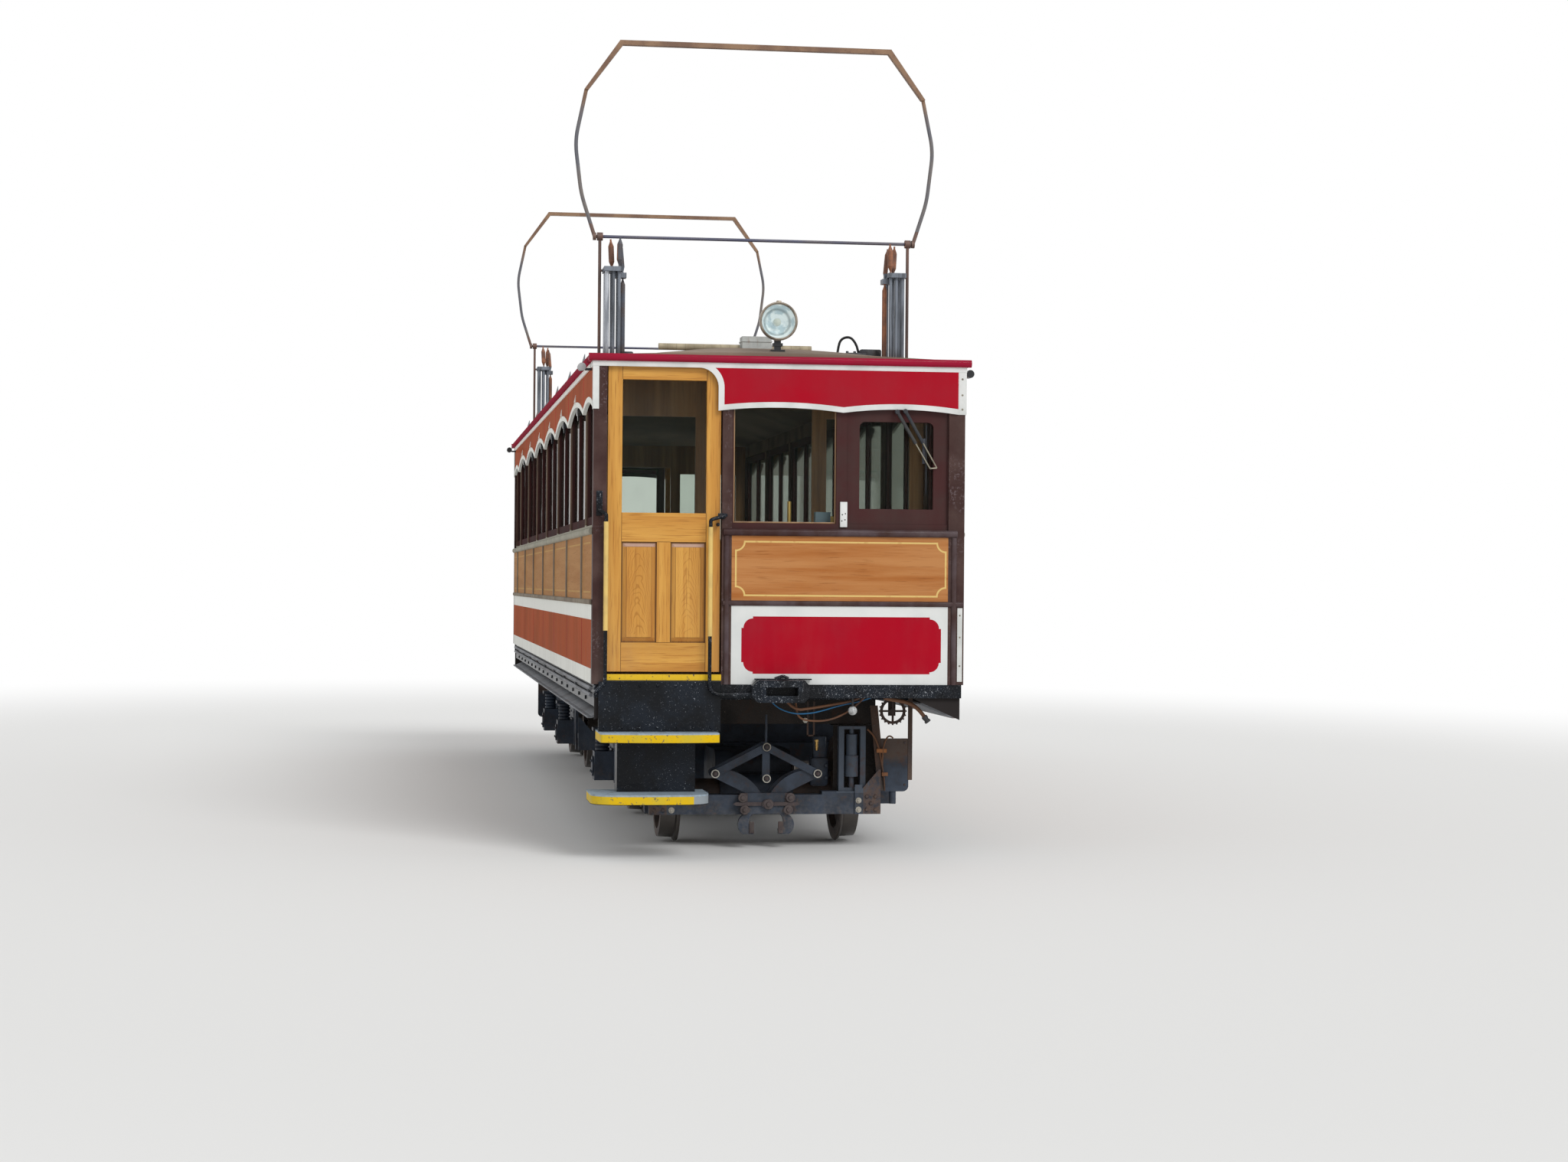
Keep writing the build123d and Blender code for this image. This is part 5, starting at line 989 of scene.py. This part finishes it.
def addWiper():    # two arms side by side from the valance, joined across at the foot
    sleeves, arms = bmesh.new(), bmesh.new()
    for pivot, foot in zip(wiper["pivots"], wiper["feet"]):
        pivot, foot = Vector(pivot), Vector(foot)
        addRod(sleeves, pivot, pivot.lerp(foot, wiper["sleeve"]), wiper["sleeveR"])
        addBolt(sleeves, pivot - Vector((wiper["hubBack"], 0, 0)), outward, *wiper["hub"])
        addRod(arms, pivot, foot, wiper["armR"])
    addRod(arms, *wiper["feet"], wiper["armR"])
    addBar(sleeves, *wiper["blade"], 0.001)
    addRod(sleeves, *wiper["strip"], wiper["stripR"])
    saveBothEnds("wiperSleeves", sleeves, "darkSteel", 40)
    saveBothEnds("wiperArms", arms, "tarnished", 40)


handRail = {
    "plate": ((5.3, -1.086, 2.0), (5.307, -1.05, 2.145)),
    "plateBolts": [(5.307, -1.068, 2.124), (5.307, -1.068, 2.076)], "plateBolt": (0.01, 0.009, 10),
    "clamp": ((5.3, -0.372, 1.988), (5.314, -0.332, 2.022)), "stud": (5.3, -0.372, 1.955),
    "studBolt": (0.013, 0.026), "studEnd": (5.326, -0.372, 1.955), "studTip": (0.007, 0.016, 8),
}


def addRailPlates():    # where the hand rails bolt to the posts beside the door
    mesh = bmesh.new()
    addBar(mesh, *handRail["plate"], 0.002)
    for place in handRail["plateBolts"]:
        addBolt(mesh, place, outward, *handRail["plateBolt"])
    addBar(mesh, *handRail["clamp"], 0.003)
    addBolt(mesh, handRail["stud"], outward, *handRail["studBolt"])
    addBolt(mesh, handRail["studEnd"], outward, *handRail["studTip"])
    saveBothEnds("railPlates", mesh, "underframeBlack")


def addLampParts():    # rim with its clip, and the bulb
    mesh = bmesh.new()
    addRing(mesh, (headlamp["rimX"], 0, headlamp["z"]), outward, *headlamp["rim"])
    addBar(mesh, *headlamp["clip"], 0.003)
    saveBothEnds("lampRims", mesh, "lampMetal", 60)
    mesh = bmesh.new()
    bmesh.ops.create_uvsphere(mesh, u_segments=16, v_segments=10, radius=headlamp["bulbR"],
                              matrix=Matrix.Translation((headlamp["bulbX"], 0, headlamp["z"])))
    saveBothEnds("lampBulbs", mesh, "white", 60)


gear = {    # what is bolted to the bogie end, x from the middle of the bogie
    "pinX": 1.586, "pins": [(0.0, 0.618), (-0.314, 0.456), (0.314, 0.456), (0.0, 0.426)],
    "pinBolts": [(0.0165, 0.01), (0.0085, 0.018, 10)], "ringX": 1.588,
    "ring": (0.0225, 0.0038, 24),    # radius, thickness and steps
    "boss": (1.604, 0.01, 0.272), "bossBolts": [(0.033, 0.01, 20, 0.9), (0.016, 0.02)],
    "clamps": [(1.598, 0.146, 0.312), (1.596, 0.134, 0.238)],
    "clampBolts": [(0.029, 0.006, 16, 0.95), (0.015, 0.018)],
    "jawPad": ((1.572, 0.074, 0.094), (1.586, 0.104, 0.166)), "plateX": 1.542,
    "plate": [(0.575, 0.288), (0.575, 0.232)], "plateBolts": [(0.019, 0.004, 16, 0.9), (0.01, 0.014)],
    "gusset": [(0.626, 0.312), (0.68, 0.312), (0.652, 0.27), (0.626, 0.232), (0.68, 0.232)], "gussetRivet": 0.015,
    "boxX": 1.49, "box": [(0.745, 0.64), (0.87, 0.64), (0.745, 0.38), (0.87, 0.38)], "boxRivet": 0.008,
}


def bogieRings(mesh):
    for y, z in gear["pins"]:
        addRing(mesh, (bogieX + gear["ringX"], y, z), outward, *gear["ring"])
    for side in (-1, 1):
        for y, z in gear["plate"]:
            addBolts(mesh, (bogieX + gear["plateX"], side * y, z), outward, gear["plateBolts"])


def bogieBolts(mesh):
    for y, z in gear["pins"]:
        addBolts(mesh, (bogieX + gear["pinX"], y, z), outward, gear["pinBolts"])
    bossX, bossY, bossZ = gear["boss"]
    addBolts(mesh, (bogieX + bossX, bossY, bossZ), outward, gear["bossBolts"])
    for side in (-1, 1):
        for x, y, z in gear["clamps"]:
            addBolts(mesh, (bogieX + x, side * y, z), outward, gear["clampBolts"])
        for y, z in gear["box"]:
            addRivet(mesh, (bogieX + gear["boxX"], side * y, z), outward, gear["boxRivet"])


def jawPads(mesh):    # brown lips on the inner edges of the two jaws
    low, high = gear["jawPad"]
    for left, right in ((low[1], high[1]), (-high[1], -low[1])):
        addBar(mesh, (bogieX + low[0], left, low[2]), (bogieX + high[0], right, high[2]), 0.003)


sideFrame = {
    "faceY": 0.729, "rows": (0.45, 0.505, 0.56), "offsets": (-0.175, -0.135, 0.135, 0.175), "rivet": 0.011,
    "coverY": 0.875, "coverR": 0.052, "coverBolt": (0.009, 0.009),
}


def frameRivets(mesh):    # rivets in the end gussets and beside the axlebox guides, bolts on the axlebox covers
    work = sideFrame
    for side in (-1, 1):
        for y, z in gear["gusset"]:
            addRivet(mesh, (bogieX + gear["plateX"], side * y, z), outward, gear["gussetRivet"])
        for axle in (bogieX - wheel["x"], bogieX + wheel["x"]):
            for offset in work["offsets"]:
                for z in work["rows"]:
                    addRivet(mesh, (axle + offset, side * work["faceY"], z), (0, side, 0), work["rivet"])
            for quarter in range(4):
                angle = math.radians(45 + 90 * quarter)
                x = axle + work["coverR"] * math.cos(angle)
                z = wheel["z"] + work["coverR"] * math.sin(angle)
                addBolt(mesh, (x, side * work["coverY"], z), (0, side, 0), *work["coverBolt"])


strut = {    # rusty upright beside the spring pot, with its clips, and the casting behind the links
    "x": (4.692, 4.702), "top": (0.649, 0.697), "foot": (0.702, 0.75), "z": (0.345, 0.868),
    "clips": [((4.702, 0.69, 0.579), (4.722, 0.752, 0.603)), ((4.702, 0.722, 0.436), (4.722, 0.76, 0.458))],
    "case": ((4.48, 0.302, 0.362), (4.56, 0.418, 0.542)), "neck": ((4.5, 0.322, 0.535), (4.545, 0.404, 0.672)),
    "caseBolts": [(4.56, 0.4, 0.415), (4.56, 0.4, 0.49)], "caseBolt": (0.012, 0.01),
    "drain": [(4.66, 0.8, 0.262), (4.66, 0.8, 0.342)], "drainR": 0.022,
    "plug": [(4.566, 0.34, 0.584), (4.566, 0.34, 0.64)], "plugR": 0.01, "plugHead": (0.014, 0.01),
}


def rustyUpright(mesh):
    low, high = strut["z"]
    addBar(mesh, (strut["x"][0], strut["top"][0], low), (strut["x"][1], strut["top"][1], high), 0.001)
    lean = strut["foot"][0] - strut["top"][0]
    for vert in mesh.verts:    # leans outwards towards its foot
        vert.co.y += lean * (high - vert.co.z) / (high - low)


def rustyClips(mesh):
    for low, high in strut["clips"]:
        addBar(mesh, low, high, 0.002)


def gearCasting(mesh):
    addBar(mesh, *strut["case"], 0.022)
    addBar(mesh, *strut["neck"], 0.012)
    for place in strut["caseBolts"]:
        addBolt(mesh, place, outward, *strut["caseBolt"])
    addRod(mesh, *strut["drain"], strut["drainR"], 14)


def brassPlug(mesh):
    addRod(mesh, *strut["plug"], strut["plugR"], 10)
    addBolt(mesh, strut["plug"][1], (0, 0, 1), *strut["plugHead"])


archTrim = {
    "middles": [-3.668, -2.201, -0.734, 0.734, 2.201, 3.668],
    "points": [(2.752, 2.782, 0.084), (2.768, 2.814, 0.026)],    # low, high and width of each step of the spike
    "pointDepth": 0.011, "pointTip": 0.18,
    "vent": (0.052, 1.066, 1.098, 2.668, 2.716),    # half width, y, foot and top
    "ventR": 0.022, "ventSpring": 0.012, "ventInset": 0.006,
    "fins": {"first": 3.2, "pitch": 1.43, "count": 6, "y": (1.066, 1.102), "z": (2.946, 3.054), "wide": 0.06,
             "tip": 0.1},
}


def addSpike(mesh, low, high, tip):    # an upright blade that narrows to its top and keeps its inner face
    before = set(mesh.verts)
    addBar(mesh, low, high)
    middle = (low[0] + high[0]) / 2
    for vert in mesh.verts:
        if vert not in before and vert.co.z > (low[2] + high[2]) / 2:
            vert.co.x = middle + (vert.co.x - middle) * tip
            vert.co.y = low[1] + (vert.co.y - low[1]) * tip


roofClutter = {
    "blocks": [((3.87, 0.6, 3.02), (3.96, 0.742, 3.098)), ((3.88, 0.7, 3.005), (3.95, 0.838, 3.122)),
               ((3.89, -0.835, 3.0), (3.95, -0.76, 3.078))],
    "bolts": [(3.915, 0.62, 3.096), (3.915, 0.668, 3.096), (3.915, 0.716, 3.096)], "bolt": (0.01, 0.014),
}


def addRoofClutter():    # cable clamps and a junction block beside the stands
    mesh = bmesh.new()
    for low, high in roofClutter["blocks"]:
        addBar(mesh, low, high, 0.01)
    for place in roofClutter["bolts"]:
        addBolt(mesh, place, (0, 0, 1), *roofClutter["bolt"])
    saveBothEnds("roofClamps", mesh, "darkSteel", 40)


def addArchTrim():    # white points over the windows, dark vents below them, and fins along the eaves
    trim = archTrim
    spikes, vents, fins = bmesh.new(), bmesh.new(), bmesh.new()
    half, near, far, foot, top = trim["vent"]
    inset = trim["ventInset"]
    for x in trim["middles"]:
        for low, high, wide in trim["points"]:
            outer = car["sideY"] + trim["pointDepth"]
            addSpike(spikes, (x - wide / 2, car["sideY"], low), (x + wide / 2, outer, high), trim["pointTip"])
        addBar(vents, (x - half, near, foot + trim["ventSpring"]), (x + half, far, top), inset)
        addRod(vents, (x, near + inset, foot), (x, far - inset, foot), trim["ventR"], 12)
    row = trim["fins"]
    inner, outer = row["y"]
    low, high = row["z"]
    for i in range(row["count"]):
        x = row["first"] - i * row["pitch"]
        addSpike(fins, (x - row["wide"] / 2, inner, low), (x + row["wide"] / 2, outer, high), row["tip"])
    turnRound(fins, fins.verts[:])
    saveBothEnds("archPoints", spikes, "white")
    saveBothEnds("archVents", vents, "darkSteel")
    saveBothEnds("roofFins", fins, "plateGrey")


screens = {
    "board": ((4.594, -0.7, 0.75), (4.606, 0.7, 0.8995)), "potBack": ((4.606, 0.436, 0.335), (4.611, 0.7, 0.7445)),
    "lip": ((4.47, 0.436, 0.7395), (4.606, 0.7, 0.7445)),
}


def addCrossBoards():    # dark board under the end bearer, above the spring pots
    mesh = bmesh.new()
    addBar(mesh, *screens["board"], 0.002)
    saveBothEnds("crossBoards", mesh, "darkBoard")


def potBacks(mesh):    # plates behind the spring pots, with a lip along their top
    for low, high in (screens["potBack"], screens["lip"]):
        addBar(mesh, low, high)
        addBar(mesh, (low[0], -high[1], low[2]), (high[0], -low[1], high[2]))


hanger = {
    "x": (4.9, 4.912), "y": (0.226, 0.274), "z": (0.69, 0.9005), "wide": 0.01, "ring": (4.914, 0.216, 0.787),
    "washer": (0.012, 0.004, 16), "stud": [(4.905, 0.216, 0.787), (4.918, 0.216, 0.787)], "studR": 0.009,
}


def addHanger():    # open loop that hangs beside the coupler, and its bright washer
    mesh = bmesh.new()
    back, front = hanger["x"]
    left, right = hanger["y"]
    foot, top = hanger["z"]
    wide = hanger["wide"]
    for y in (left, right - wide):
        addBar(mesh, (back, y, foot), (front, y + wide, top), 0.001)
    addBar(mesh, (back, left, foot), (front, right, foot + wide), 0.001)
    saveBothEnds("hangLoops", mesh, "rustyIron")
    mesh = bmesh.new()
    addRing(mesh, hanger["ring"], outward, *hanger["washer"])
    addRod(mesh, *hanger["stud"], hanger["studR"])
    saveBothEnds("hangWashers", mesh, "wornSteel", 40)


collars = ((0.0, 0.018, 0.018), (0.018, 0.012, 0.015), (0.03, 0.012, 0.019))    # start, length and radius


def addHoseEnd(end, points):    # ridged coupling on the free end of the hose
    mesh = bmesh.new()
    last, before = Vector(points[-1]), Vector(points[-2])
    way = (last - before).normalized()
    for start, long, radius in collars:
        addRod(mesh, last + way * start, last + way * (start + long), radius, 14)
    if end == "rear":
        turnRound(mesh, mesh.verts[:])
    return savePiece(f"hoseEnd_{end}", mesh, "darkSteel", "car_body", 40)


def addCord(name, points, thick, finish, body):
    data = bpy.data.curves.new(name, "CURVE")
    data.dimensions = "3D"
    data.bevel_depth = thick / 2
    data.bevel_resolution = 2
    data.use_fill_caps = True
    line = data.splines.new("NURBS")
    line.points.add(len(points) - 1)
    for spot, place in zip(line.points, points):
        spot.co = (*place, 1)
    line.order_u = 3
    line.use_endpoint_u = True
    data.materials.append(finishes[finish])
    cord = bpy.data.objects.new(name, data)
    bpy.context.scene.collection.objects.link(cord)
    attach(cord, body)


cords = [    # name, thickness, finish, body, and the places that it hangs through at the leading end
    ("blueCable", 0.008, "blueCable", "car_body", [
        (5.23, -0.05, 0.938), (5.222, -0.02, 0.885), (5.215, 0.096, 0.839), (5.215, 0.202, 0.843),
        (5.215, 0.272, 0.859), (5.215, 0.389, 0.894), (5.215, 0.506, 0.915), (5.23, 0.56, 0.938)]),
    ("brownLoop", 0.012, "brownCable", "car_body", [
        (5.228, 0.108, 0.938), (5.205, 0.114, 0.885), (5.198, 0.132, 0.81), (5.198, 0.225, 0.795),
        (5.198, 0.319, 0.802), (5.198, 0.413, 0.842), (5.205, 0.482, 0.894), (5.228, 0.52, 0.938)]),
    ("brownStrap", 0.016, "brownCable", "car_body", [
        (5.236, 0.04, 0.938), (5.232, 0.09, 0.862), (5.23, 0.206, 0.874), (5.23, 0.349, 0.901),
        (5.232, 0.45, 0.917), (5.236, 0.49, 0.938)]),
    ("roofLoop", 0.016, "rubber", "car_body", [
        (3.9, 0.556, 3.072), (3.9, 0.562, 3.13), (3.9, 0.58, 3.19), (3.9, 0.64, 3.206),
        (3.9, 0.68, 3.16), (3.9, 0.696, 3.1), (3.9, 0.705, 3.052)]),
    ("brownHose", 0.024, "brownCable", "car_body", [
        (5.236, 0.64, 0.938), (5.215, 0.69, 0.926), (5.205, 0.78, 0.913), (5.205, 0.85, 0.877),
        (5.205, 0.888, 0.826)]),
    ("pillarCable", 0.012, "brownCable", "bogie", [
        (4.698, 0.743, 0.345), (4.712, 0.741, 0.393), (4.712, 0.727, 0.489), (4.712, 0.705, 0.609),
        (4.708, 0.672, 0.69), (4.7, 0.634, 0.722)]),
    ("drainCable", 0.01, "brownCable", "bogie", [
        (4.7, 0.728, 0.441), (4.718, 0.725, 0.549), (4.718, 0.733, 0.63), (4.715, 0.765, 0.695),
        (4.69, 0.795, 0.668)]),
]

addSeatPads()
print("seat pads made")
addBodyBolts()
addCouplerTop()
addWindowBeads()
addLatch()
addStripScrews()
addWiper()
addRailPlates()
addLampParts()
addHanger()
addCrossBoards()
addArchTrim()
addRoofClutter()
print("body fittings made")
perBogie("pinWashers", bogieRings, "wornSteel", 40)
perBogie("gearBolts", bogieBolts, "brownSteel")
perBogie("jawPads", jawPads, "brownSteel")
perBogie("frameRivets", frameRivets, "bogieIron")
perBogie("rustyUprights", rustyUpright, "rustyIron")
perBogie("rustyClips", rustyClips, "rustyClip")
perBogie("potBacks", potBacks, "darkBoard")
perBogie("gearCastings", gearCasting, "bogieIron", 40)
perBogie("brassPlugs", brassPlug, "brass", 40)
print("bogie fittings made")
for name, thick, finish, body, points in cords:
    for end, sign in (("front", 1), ("rear", -1)):
        coupling = addHoseEnd(end, points) if name == "brownHose" else None
        hung = [(sign * x, sign * y, z) for x, y, z in points]
        addCord(f"{name}_{end}", hung, thick, finish, f"bogie_{end}" if body == "bogie" else body)
print("cables laid")
